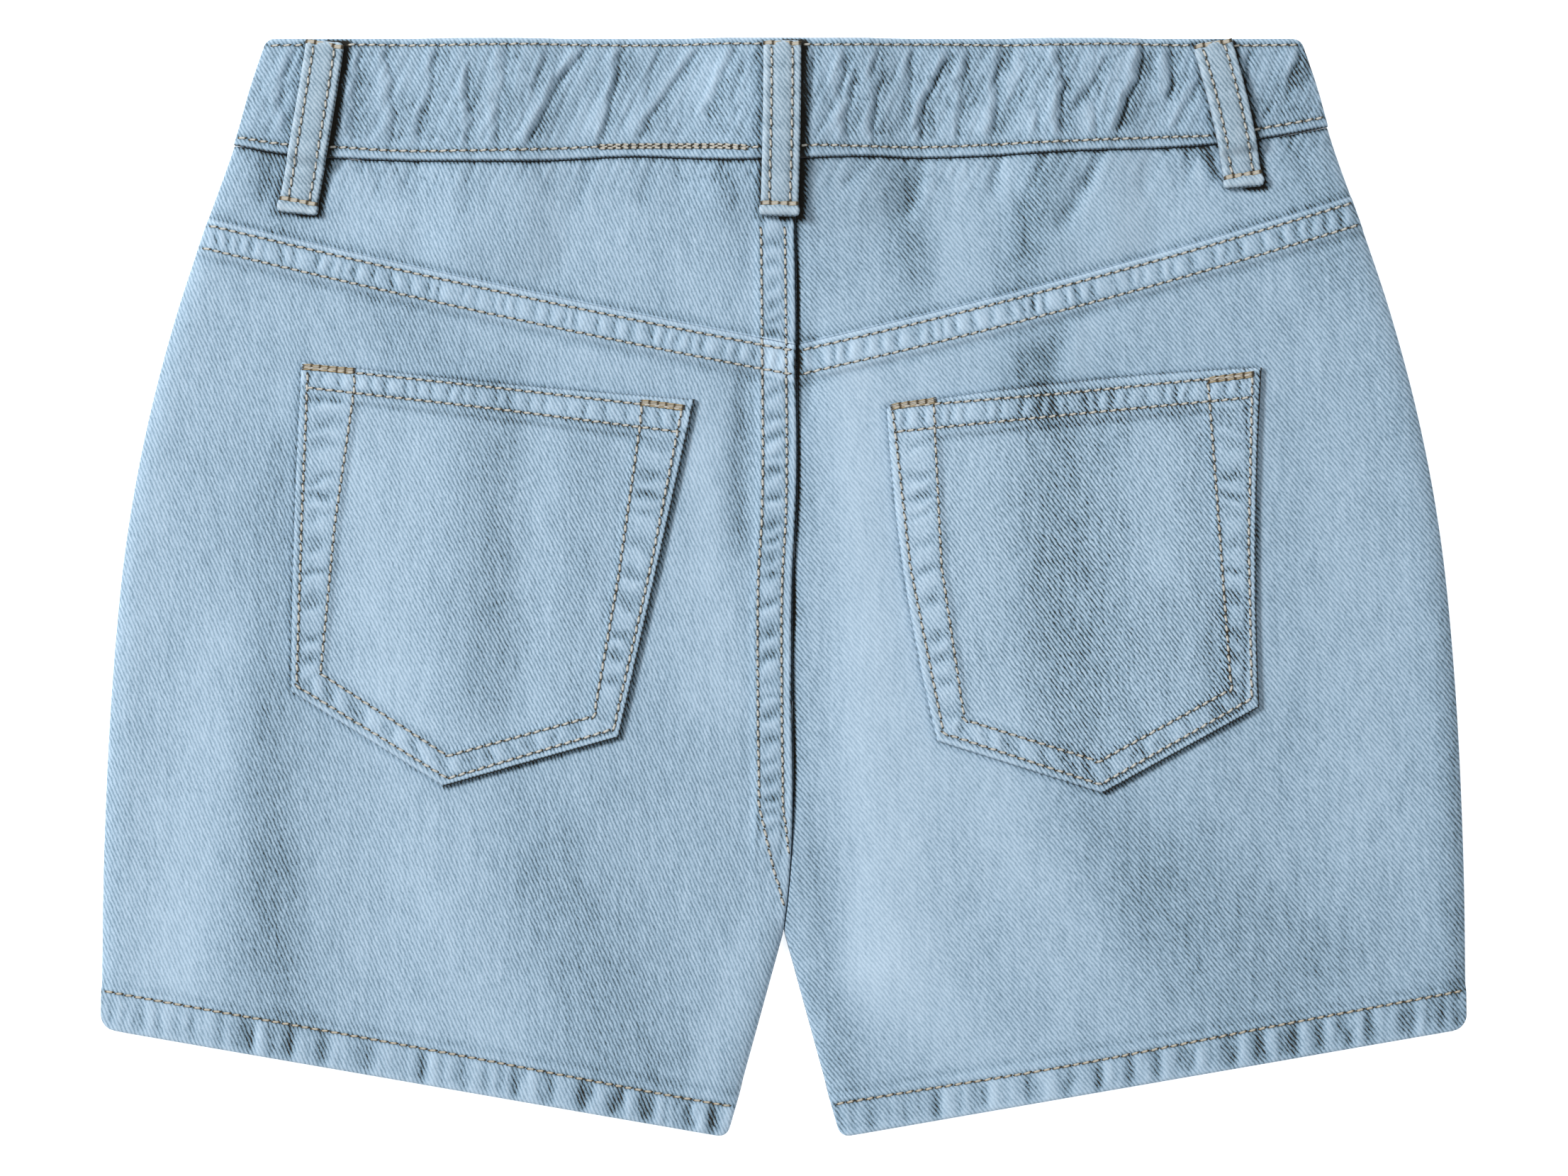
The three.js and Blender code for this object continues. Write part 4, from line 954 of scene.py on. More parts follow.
def back_pocket(name, pocket):
    top_left, top_right, bottom_right, tip, bottom_left = [np.array(c) for c in pocket["corners"]]
    bows = pocket["bows"]
    tip_at = (tip[0] - bottom_left[0]) / (bottom_right[0] - bottom_left[0])
    width, deep = top_right[0] - top_left[0], tip[1] - top_left[1]

    def bowed(a, b, right, lower):
        def edge(t):
            share = 4 * t * (1 - t)
            return lerp(a[0], b[0], t) + right * share, lerp(a[1], b[1], t) + lower * share
        return edge

    def lower_edge(u):
        left_part = [lerp(bottom_left[i], tip[i], u / tip_at) for i in (0, 1)]
        right_part = [lerp(tip[i], bottom_right[i], (u - tip_at) / (1 - tip_at)) for i in (0, 1)]
        return [np.where(u < tip_at, a, b) for a, b in zip(left_part, right_part)]

    top_edge = bowed(top_left, top_right, 0, bows["top"])
    left_edge = bowed(top_left, bottom_left, bows["left"], 0)
    right_edge = bowed(top_right, bottom_right, bows["right"], 0)
    plan = patch(top_edge, lower_edge, left_edge, right_edge)
    columns = stations(width, 0.6)
    columns[np.argmin(np.abs(columns - tip_at))] = tip_at
    sewn = pocket_face(pocket)

    def face(x, down, u, v):
        height, worn = sewn(x, down)
        to_left, to_right = u * width, (1 - u) * width
        to_top, to_foot = v * deep, (1 - v) * deep
        # Painted shade on the turned-over rim: deep on the right and lower right edges, which face away from
        # the light, and slight on the others.
        shaded = np.minimum(to_right, np.where(u < tip_at, 9, to_foot))
        pale = np.minimum(np.minimum(to_left, to_top), to_foot)
        rim = 1.4 * bump(shaded, 0, 1.6 * RIM) + 0.4 * bump(pale, 0, RIM)
        to_edge = np.minimum(np.minimum(to_left, to_right), np.minimum(to_top, to_foot))
        return softened(height, to_edge, WALL + POCKET_RAISE, 0.8), worn - 2.2 * rim

    return shell(name, plan, columns, stations(deep, 0.6), face,
                 lambda x, down, u, v: back_height(x, down) + 0.12)


def loop_line(loop):
    """The middle line of a belt loop: x by its share of the way down."""
    return lambda t: through(*loop[:3], t)


def back_top(x, down):
    """The highest cloth of the back at a place, with no loop or pocket."""
    on_band = down < band_edge(x)
    on_yoke = ~on_band & (down < yoke_seam(x))
    below_band = np.where(on_yoke, yoke_face(x, down)[0], back_height(x, down))
    return np.where(on_band, band_height(x, down), below_band)


def loop_bed(loop):
    """The height that clears the cloth under a loop, by its share of the way down."""
    end = loop[3]
    line = loop_line(loop)
    shares = np.linspace(0, 1, 19)
    heights = []
    for share in shares:
        across, along = np.meshgrid(np.linspace(-0.5, 0.5, 11) * LOOP_WIDTH, np.linspace(-2.4, 2.4, 9))
        down = np.maximum(lerp(LOOP_TOP, end, share) + along, 0.1)
        heights.append(float(np.max(back_top(line(share) + across, down))) + LOOP_BED_GAP)
    return curve(list(zip(shares, heights)))


def back_loop(name, loop):
    """A belt loop with its folded ends, and the face that its stitching lies on."""
    end = loop[3]
    line, bed = loop_line(loop), loop_bed(loop)

    def plan(u, v):
        tilt = (line(np.minimum(v + 0.02, 1)) - line(np.maximum(v - 0.02, 0))) / (0.04 * (end - LOOP_TOP))
        swell = 1 + 0.08 * smoothstep(v, 0.90, 0.97)
        from_end = np.minimum(v, 1 - v) * (end - LOOP_TOP)
        inset = LOOP_CORNER - np.sqrt(LOOP_CORNER ** 2 - np.maximum(LOOP_CORNER - from_end, 0) ** 2)
        off = (u - 0.5) * (LOOP_WIDTH * swell - 2 * inset)
        return line(v) + off, lerp(LOOP_TOP, end, v) - off * tilt

    def face(x, down, u, v):
        off = (u - 0.5) * LOOP_WIDTH
        from_end = (1 - v) * (end - LOOP_TOP)
        fold = bump(from_end, 1.4, 1.3)
        groove = rows_of(np.abs(off), [LOOP_ROW], 0.7) * smoothstep(from_end, 2.5, 4.5)
        tack = bump(from_end, 3.6, 0.7)
        wave = puckers("loop", down + loop[0]) * (0.4 + 0.6 * (np.abs(off) > LOOP_ROW))
        cushion = 0.30 * (1 - np.minimum(np.abs(off) / LOOP_ROW, 1) ** 2) + 0.8 * arch(v, 0.12, 0.82)
        height = bed(v) + LOOP_WALL + 0.6 * fold - 0.4 * tack - 0.25 * groove + 0.14 * wave + cushion
        height = height + 0.10 * smoothstep(np.abs(off), LOOP_ROW, LOOP_ROW + 1.2)
        edge = np.minimum(LOOP_WIDTH / 2 - np.abs(off), np.minimum(from_end, v * (end - LOOP_TOP)))
        # Painted shade in the stitch grooves and in the tack's dent, and on the rim of the right side and the
        # lower end, away from the light.
        worn = 0.45 * bump(edge, 0.6, 0.8) + 0.55 * wave - 0.5 * groove - 0.8 * tack + 0.35 * fold
        worn = worn + mottle(x, down, 45) + 0.05
        worn = worn - LOOP_RIM_SHADE * bump(np.minimum(LOOP_WIDTH / 2 - off, from_end), 0, RIM)
        return softened(height, edge, LOOP_WALL, 1.0), worn

    columns = stations(LOOP_WIDTH, 0.45, edge=(0.12, 0.35, 0.65))
    rows = stations(end - LOOP_TOP, 0.55, edge=(0.15, 0.4, 0.8))
    return shell(name, plan, columns, rows, face, lambda x, down, u, v: bed(v) + 0.05)


# The front, which rests on the surface: its outer face is the lower one


def front_lift(x, down):
    return rise(x, down) + FLOOR_CLEARANCE


def fly_curve(share):
    """The curved fly stitching of the front, from the waistband down to the seam: x, down."""
    straight = 0.66
    t = np.clip((share - straight) / (1 - straight), 0, 1)
    x = FRONT_SEAM_X - 27 * np.cos(t * math.pi / 2) ** 0.8
    return x, FRONT_BAND_CENTRE_DOWN + 2 + 60 * np.minimum(share / straight, 1) + 16 * np.sin(t * math.pi / 2)


def front_face(x, down):
    """The outer face of a front panel, which looks down: height, and wear with painted light and shade."""
    hem_height, hem_worn = hem_sewing(x, down)
    beside = front_seam(down) - x
    from_start = smoothstep(down, FRONT_SEAM_START - 4, FRONT_SEAM_START)
    seam = rows_of(beside, FRONT_SEAM_ROWS, 0.7) * (beside > 0) * from_start
    inside = arch(beside, *FRONT_SEAM_ROWS) * from_start
    wave = puckers("seat", down + 40) * inside
    relief = 0.5 * hem_height + 0.25 * wave - 0.18 * seam
    # Painted shade in the stitch grooves; the hem and the mirrored wash table bring their painted light and
    # shade too.
    worn = hem_worn + 0.6 * wave - 0.45 * seam + mottle(x, down, 51) + 0.6 * marks(WASH_AND_SHADE, -x, down)
    edge = np.where(beside > 0, bump(beside, 0.5, 0.8), 0)
    return front_lift(x, down) - np.clip(relief, -0.35, 0.3), worn + 0.3 * edge


def front_panel(name, side):
    plan, deep = leg_plan(side, lambda x: front_band_edge(x) + LAP_GAP, front_seam, LAP_GAP)
    width = LEG_WIDTH + 10

    def face(x, down, u, v):
        height, worn = front_face(x, down)
        to_edge = np.minimum(np.minimum(u, 1 - u) * width, np.minimum(v, 1 - v) * deep)
        return 2 * height - softened(height, to_edge, WALL, 1.0), worn

    def lining(x, down, u, v):
        return front_lift(x, down) - FLOOR_CLEARANCE + lerp(WALL, HEM_WALL, hem_share(x, down))

    return shell(name, plan, stations(width, 1.6), stations(deep, 1.6), face, lining, worn_side_up=False)


def front_band(name, side):
    inner_x = TAB_END_X if side < 0 else UNDERLAP_END_X
    edges = (side_edge(side), lambda down: inner_x + 0 * down)
    plan = round_waist(between(front_top, front_band_edge, *(edges if side < 0 else edges[::-1])))
    width = float(half(0)) - side * inner_x

    def step(x):
        if side < 0:
            return 0 * x
        return (BAND_WALL + SEAM_GAP) * (1 - smoothstep(x, TAB_END_X + 1.5, TAB_END_X + 9))

    def face(x, down, u, v):
        to_edge = np.minimum(down - front_top(x), front_band_edge(x) - down)
        ends = (1 - u if side < 0 else u) * width
        wave = 0.12 * puckers("band", 2 * x + 0.6 * down) * arch(to_edge, 0.5, 20)
        groove = rows_of(to_edge, [FRONT_BAND_ROW], 0.7)
        height = front_lift(x, down) + step(x) + 0.2 * groove - wave
        # Painted shade in the stitch grooves.
        worn = 0.3 * bump(to_edge, 0.4, 0.8) - 0.5 * groove + wave + mottle(x, down, 53)
        return 2 * height - softened(height, np.minimum(to_edge, ends), BAND_WALL, 1.0), worn

    def lining(x, down, u, v):
        return rise(x, down) + step(x) + BAND_WALL - 0.1

    return shell(name, plan, stations(width, 1.0), stations(33.0, 0.9), face, lining, worn_side_up=False)


def front_loop(name, side):
    deep = FRONT_LOOP_END - FRONT_LOOP_TOP

    def plan(u, v):
        return side * FRONT_LOOP_X + (u - 0.5) * LOOP_WIDTH, lerp(FRONT_LOOP_TOP, FRONT_LOOP_END, v)

    def face(x, down, u, v):
        off = (u - 0.5) * LOOP_WIDTH
        edge = np.minimum(LOOP_WIDTH / 2 - np.abs(off), np.minimum(v, 1 - v) * deep)
        groove = rows_of(np.abs(off), [LOOP_ROW], 0.7)
        height = FLOOR_CLEARANCE + 0.2 * groove - 0.1 * puckers("loop", down) + 0 * u
        # Painted shade in the stitch grooves.
        worn = 0.45 * bump(edge, 0.3, 0.9) - 0.5 * groove + mottle(x, down, 55)
        return 2 * height - softened(height, edge, LOOP_WALL, 0.9), worn

    columns = stations(LOOP_WIDTH, 0.7, edge=(0.15, 0.5))
    return shell(name, plan, columns, stations(deep, 0.8), face,
                 lambda x, down, u, v: LOOP_WALL + 0 * x, worn_side_up=False)


def fly_placket(name):
    top = FRONT_BAND_CENTRE_DOWN + 1.2

    def plan(u, v):
        width = PLACKET_WIDTH * np.sqrt(1 - smoothstep(v, 0.68, 1) * 0.9)
        return FRONT_SEAM_X - 1 - (1 - u) * width, top + PLACKET_LENGTH * v

    def face(x, down, u, v):
        edge = np.minimum(np.minimum(u, 1 - u) * PLACKET_WIDTH, np.minimum(v, 1 - v) * PLACKET_LENGTH)
        height = rise(x, down) + WALL + SEAM_GAP + 1
        return softened(height, edge, 1.0, 0.8), mottle(x, down, 57)

    return shell(name, plan, stations(PLACKET_WIDTH, 1.5), stations(PLACKET_LENGTH, 1.6), face,
                 lambda x, down, u, v: rise(x, down) + WALL + SEAM_GAP)


# Stitching


# One stitch of thread: share of its length, half thickness, height above the cloth, shade.
STITCH = [
    (-0.50, 0.20, -0.08, 0.0), (-0.38, 0.31, 0.06, 0.0), (-0.25, 0.36, 0.14, 0.8),
    (0.18, 0.36, 0.17, 1.0), (0.31, 0.31, 0.10, 0.1), (0.50, 0.20, -0.08, 0.0),
]
STITCH_SIDES = 5
STITCH_PITCH = 2.9
# How golden the thread of the hems, of the loops' tacks and of the doubled row is, from 0 to 1.
HEM_GOLD = 0.45
LOOP_TACK_GOLD = 0.6
DOUBLED_GOLD = 0.15
# How thick thread is in rows that are pulled tight, as a share of the rest.
TIGHT_THREAD = 0.9
FRONT_THREAD = 0.8


def line_at(x, down):
    """A line of points, from values for x and down of which one may be a single number."""
    return np.stack(np.broadcast_arrays(x, down), axis=-1)


def resample(points, step):
    """Points along a line of points at an even step, with their direction."""
    points = np.array(points, float)
    lengths = np.concatenate([[0], np.cumsum(np.hypot(*np.diff(points, axis=0).T))])
    count = max(int(round(lengths[-1] / step)), 1)
    at = (np.arange(count) + 0.5) * lengths[-1] / count
    x, down = (np.interp(at, lengths, points[:, i]) for i in (0, 1))
    ahead = np.minimum(at + 0.4 * step, lengths[-1])
    behind = np.maximum(at - 0.4 * step, 0)
    run_x, run_down = (np.interp(ahead, lengths, points[:, i]) - np.interp(behind, lengths, points[:, i])
                       for i in (0, 1))
    size = np.hypot(run_x, run_down)
    return x, down, run_x / size, run_down / size


def sewn(points, surface, seed, length=2.85, thick=1.0, pitch=STITCH_PITCH, turn=7, gold=0.0, below=False):
    """A row of stitches on a surface: their points, faces, shades and how golden they are."""
    x, down, run_x, run_down = resample(points, pitch)
    dice = np.random.default_rng(seed)
    angle = np.radians(turn + dice.uniform(-3, 3, len(x)))
    run_x, run_down = (run_x * np.cos(angle) + run_down * np.sin(angle),
                       run_down * np.cos(angle) - run_x * np.sin(angle))
    size = length * dice.uniform(0.94, 1.04, len(x))
    side = -1 if below else 1
    sides = STITCH_SIDES
    rings, shades = [], []
    for share, radius, lift, shade in STITCH:
        at_x, at_down = x + run_x * share * size, down + run_down * share * size
        base = surface(at_x, at_down)
        for k in range(sides):
            turned = 2 * math.pi * k / sides
            out = radius * thick * math.cos(turned)
            up = lift * thick + 0.85 * radius * thick * math.sin(turned)
            place = [at_x - run_down * out, to_y(at_down + run_x * out), base + side * up]
            rings.append(np.stack(place, axis=-1))
            shades.append(shade * dice.uniform(0.86, 1.0, len(x)))
    points = np.stack(rings, axis=1)
    count = points.shape[1]
    faces = []
    for ring in range(len(STITCH) - 1):
        for k in range(sides):
            a, b = ring * sides + k, ring * sides + (k + 1) % sides
            faces.append([a, b, b + sides, a + sides])
    caps = [list(range(sides))[::-1], [count - sides + k for k in range(sides)]]
    if not below:
        faces, caps = [f[::-1] for f in faces], [c[::-1] for c in caps]
    starts = np.arange(len(x)) * count
    all_faces = [[s + i for i in f] for s in starts for f in faces + caps]
    shades = np.stack(shades, axis=1).ravel()
    return points.reshape(-1, 3), all_faces, shades, np.full(len(shades), gold)


def sewing(name, rows):
    """One piece of stitching from several rows."""
    points, faces, shades, golds = [], [], [], []
    start = 0
    for row_points, row_faces, row_shades, row_golds in rows:
        points.append(row_points)
        faces += [[start + i for i in f] for f in row_faces]
        shades.append(row_shades)
        golds.append(row_golds)
        start += len(row_points)
    return make_mesh(name, np.concatenate(points), faces,
                     shade=np.concatenate(shades), gold=np.concatenate(golds))


def bar_tack(start, end, surface, seed, width=1.6, gold=1.0, below=False):
    """A dense bar of thread: long strands, bound by short slanting ones."""
    start, end = np.array(start), np.array(end)
    run = (end - start) / np.hypot(*(end - start))
    across = np.array([-run[1], run[0]])
    rows = []
    for k, (off, share) in enumerate(((-0.42, 1.0), (-0.14, 0.4), (0.14, 0.4), (0.42, 1.0))):
        line = [start + across * off * width, end + across * off * width]
        rows.append(sewn(line, surface, seed + k, length=3.4, thick=0.62, pitch=2.6, turn=6,
                         gold=gold * share, below=below))
    return rows


def yoke_rows():
    rows = []
    xs = np.linspace(-198, 198, 400)
    for k, off in enumerate(YOKE_ROWS):
        for j, (low, high) in enumerate(((-176, 2.9), (4.6, 176))):
            at = xs[(xs > low) & (xs < high)]
            line = line_at(at, yoke_seam(at) + off)
            line = line[np.abs(line[:, 0]) < half(line[:, 1]) - 0.6]
            rows.append(sewn(line, back_height, 104 + 10 * k + j))
    return rows


# The seat's two rows: where each ends, and how they draw in to the crotch, as down and distance.
SEAT_ROW_START = 54.5
SEAT_ROW_PATHS = [
    (251, [0, 222, 234, 241, 246, 251], [9.8, 9.8, 6.7, 4.6, 2.6, 1.0]),
    (236, [0, 222, 236], [2.9, 2.9, 0.7]),
]


def seat_rows():
    rows = []
    for k, (end, downs, distances) in enumerate(SEAT_ROW_PATHS):
        down = np.linspace(SEAT_ROW_START, end, 220)
        rows.append(sewn(line_at(seat(down) - np.interp(down, downs, distances), down), back_top, 140 + k))
    return rows


def hem_rows():
    rows = []
    for k, (low, high) in enumerate(((-197.4, -13.2), (13.2, 197.4))):
        at = np.linspace(low, high, 200)
        line = line_at(at, hem(at) - hem_row(at))
        keep = (np.abs(at) < half(line[:, 1]) - 0.5) & (np.abs(at) > leg_inner(line[:, 1]) + 0.5)
        rows.append(sewn(line[keep], back_height, 150 + k, gold=HEM_GOLD))
    return rows


# Stretches of the waistband's rows, which the belt loops part: from x, to x.
BAND_TOP_STRETCHES = [(-148.6, -138.5), (-126.2, -6.2), (5.4, 117.6), (129.6, 148.6)]
BAND_LOW_STRETCHES = [(-158.0, -142.6), (-131.6, -6.6), (4.6, 123.4), (135.4, 156.2)]
# Where the lower row is sewn twice over, and how far apart the two runs lie.
DOUBLED_STRETCH = (-53.4, -10.4)
DOUBLED_OFFSETS = (-0.45, 0.5)


def band_rows():
    rows = []
    for k, stretch in enumerate(BAND_TOP_STRETCHES):
        at = np.linspace(*stretch, 120)
        line = line_at(at, BAND_TOP_ROW + 0.15 * np.sin(at / 9))
        rows.append(sewn(line, band_height, 160 + k, thick=TIGHT_THREAD))
    for k, stretch in enumerate(BAND_LOW_STRETCHES):
        at = np.linspace(*stretch, 120)
        rows.append(sewn(line_at(at, band_row(at)), band_height, 170 + k))
    at = np.linspace(*DOUBLED_STRETCH, 60)
    for k, off in enumerate(DOUBLED_OFFSETS):
        rows.append(sewn(line_at(at, band_row(at) + off), lambda x, down: band_height(x, down) + 0.25,
                         180 + k, pitch=2.3, length=2.5, thick=0.95, gold=DOUBLED_GOLD, turn=-6))
    return rows


def pocket_rows(pocket):
    face = pocket_face(pocket)
    rows = [sewn(pocket[row], lambda x, down: face(x, down)[0], 190 + k)
            for k, row in enumerate(("outer", "inner", "top", "second"))]
    for k, (start, end) in enumerate(pocket["tacks"]):
        rows += bar_tack(start, end, lambda x, down: face(x, down)[0] + 0.15, 200 + 4 * k)
    return rows


def loop_rows(loop):
    line, bed, end = loop_line(loop), loop_bed(loop), loop[3]
    deep = end - LOOP_TOP

    def surface(x, down):
        share = (down - LOOP_TOP) / deep
        return bed(share) + LOOP_WALL - 0.1 + 0.8 * arch(share, 0.12, 0.82)

    rows = []
    share = np.linspace(0.035, 1 - 4.2 / end, 60)
    down = lerp(LOOP_TOP, end, share)
    tilt = np.gradient(line(share), down)
    for k, off in enumerate((-LOOP_ROW, LOOP_ROW)):
        rows.append(sewn(line_at(line(share) + off, down - off * tilt), surface, 210 + k,
                         thick=TIGHT_THREAD))
    tilt = (line(1.0) - line(0.9)) / (0.1 * deep)
    reach = LOOP_WIDTH / 2 - 0.3
    for k, at in enumerate((0.018, 1 - 3.6 / deep)):
        middle = np.array([line(at), lerp(LOOP_TOP, end, at)])
        rows += bar_tack(middle - (reach, -reach * tilt), middle + (reach, -reach * tilt), surface,
                         220 + 4 * k, width=0.9, gold=LOOP_TACK_GOLD)
    return rows


def front_rows():
    """The rows of the front, which hang below its cloth."""
    rows = []

    def sew(line, surface, seed):
        rows.append(sewn(line, surface, seed, thick=FRONT_THREAD, below=True))

    def on_panel(x, down):
        return front_face(x, down)[0]

    def on_band(x, down):
        return front_lift(x, down) + 0.15

    def on_loop(x, down):
        return FLOOR_CLEARANCE + 0.1 + 0 * x

    for k, (low, high) in enumerate(((-196.5, -14), (14, 196.5))):
        at = np.linspace(low, high, 200)
        sew(line_at(at, hem(at) - hem_row(at)), on_panel, 230 + k)
    x, down = fly_curve(np.linspace(0, 1, 60))
    for k, off in enumerate((0.0, 6.4)):
        sew(line_at(np.minimum(x + off, FRONT_SEAM_X - 1), down - 0.2 * off), on_panel, 240 + k)
    down = np.linspace(FRONT_SEAM_START, CROTCH_DOWN - 8, 120)
    for k, off in enumerate(FRONT_SEAM_ROWS):
        sew(line_at(front_seam(down) - off, down), on_panel, 250 + k)

    for k, (low, high) in enumerate(((-147, TAB_END_X - 1.5), (TAB_END_X + 10, 147))):
        at = np.linspace(low, high, 120)
        for j, line in enumerate((front_top(at) + FRONT_BAND_ROW, front_band_edge(at) - FRONT_BAND_ROW)):
            sew(line_at(at, line), on_band, 260 + 2 * k + j)
    down = np.linspace(FRONT_DIP + 3, FRONT_BAND_CENTRE_DOWN - 3, 30)
    sew(line_at(TAB_END_X - 2, down), on_band, 268)

    reach = LOOP_WIDTH / 2 - 0.4
    for side in (-1, 1):
        middle = side * FRONT_LOOP_X
        down = np.linspace(FRONT_LOOP_TOP + 2, FRONT_LOOP_END - 4, 40)
        for k, off in enumerate((-LOOP_ROW, LOOP_ROW)):
            sew(line_at(middle + off, down), on_loop, 270 + k + side)
        for k, at in enumerate((FRONT_LOOP_TOP + 1.2, FRONT_LOOP_END - 3)):
            rows += bar_tack((middle - reach, at), (middle + reach, at), on_loop, 280 + 3 * k,
                             width=1.1, below=True)
    return rows


def thread_rows():
    """Every row of topstitching, by the piece of stitching that holds it."""
    held = {
        "topstitching_yoke": yoke_rows(), "topstitching_seat": seat_rows(),
        "topstitching_hem": hem_rows(), "topstitching_waistband": band_rows(),
    }
    for name, pocket in POCKETS.items():
        held[f"topstitching_pocket_{name}"] = pocket_rows(pocket)
    for name, loop in LOOPS.items():
        held[f"topstitching_loop_{name}"] = loop_rows(loop)
    held["topstitching_front"] = front_rows()
    return held


# Button, in antique brass

# Steps in from the button's rim: width, and height down or up.
BUTTON_STEPS = [(1.3, 0.0), (0.7, -0.35), (0.5, 0.0), (2.4, 0.22), (1.6, 0.0)]


def brass_button():
    """A button with a stepped face, which looks down."""
    bpy.ops.object.select_all(action="DESELECT")
    place = (0, to_y(BUTTON_DOWN) * METRE, BUTTON_HEIGHT / 2 * METRE)
    bpy.ops.mesh.primitive_cylinder_add(vertices=64, radius=BUTTON_RADIUS * METRE,
                                        depth=BUTTON_HEIGHT * METRE, location=place)
    button = bpy.context.object
    button.name = "brass_button"
    bpy.ops.object.transform_apply(location=True)
    mesh = button.data
    bpy.ops.object.mode_set(mode="EDIT")
    bpy.ops.mesh.select_all(action="DESELECT")
    bpy.ops.object.mode_set(mode="OBJECT")
    for polygon in mesh.polygons:
        polygon.select = polygon.normal.z < -0.9
    bpy.ops.object.mode_set(mode="EDIT")
    bpy.ops.mesh.select_mode(type="FACE")
    for thickness, depth in BUTTON_STEPS:
        bpy.ops.mesh.inset(thickness=thickness * METRE, depth=depth * METRE)
    bpy.ops.object.mode_set(mode="OBJECT")
    bevel = button.modifiers.new("rim", "BEVEL")
    bevel.width = 0.35 * METRE
    bevel.segments = 3
    bevel.limit_method = "ANGLE"
    bpy.ops.object.modifier_apply(modifier=bevel.name)
    bpy.ops.object.shade_smooth_by_angle(angle=math.radians(35))
    return button


# Materials


def linear(red, green, blue):
    """A colour given as a screen shows it."""
    def channel(value):
        value = value / 255
        return value / 12.92 if value <= 0.04045 else ((value + 0.055) / 1.055) ** 2.4
    return (channel(red), channel(green), channel(blue), 1)


# How much brighter the light makes a finish than its own colour.
LIGHT_GAIN = 1.36


def lit(red, green, blue):
    """The own colour of a finish that looks this colour in the light."""
    return (*(channel / LIGHT_GAIN for channel in linear(red, green, blue)[:3]), 1)


def finish_with_nodes(name):
    material = bpy.data.materials.new(name)
    material.use_nodes = True
    tree = material.node_tree

    def node(kind, inputs=(), **settings):
        made = tree.nodes.new(kind)
        for setting, value in settings.items():
            setattr(made, setting, value)
        for socket, value in dict(inputs).items():
            if isinstance(value, bpy.types.NodeSocket):
                tree.links.new(value, made.inputs[socket])
            else:
                made.inputs[socket].default_value = value
        return made

    return material, tree.nodes["Principled BSDF"], node


def ramp_of(node, value, stops):
    made = node("ShaderNodeValToRGB", {"Fac": value})
    ramp = made.color_ramp
    while len(ramp.elements) < len(stops):
        ramp.elements.new(0.5)
    for element, (position, colour) in zip(ramp.elements, stops):
        element.position = position
        element.color = colour
    return made.outputs["Color"]


TWILL_PERIOD = 1.06
# The wave texture's bands repeat 20 radians for each unit.
BANDS_PER_UNIT = 20 / (2 * math.pi)
# Share of each part of the weave in the tone, and the mean that is taken off their sum.
RIDGE, DASHES, WARP, FUZZ, STREAKS = 0.23, 0.36, 0.20, 0.30, 0.12
WEAVE_MEAN = 0.635
# Place in the ramp of plain cloth, and how far wear and painted light and shade move it.
PLAIN_TONE = 0.572
WEAR_AND_SHADE_REACH = 0.26

# Depths of the blue, from the brownish near-black of painted shadows through deep to washed out: place in the
# ramp, and its red, green and blue.
BLUES = [
    (0.00, 24, 22, 14), (0.10, 56, 72, 79), (0.25, 105, 130, 147), (0.40, 132, 160, 181),
    (0.56, 161, 188, 210), (0.74, 183, 208, 229), (0.95, 202, 226, 246),
]


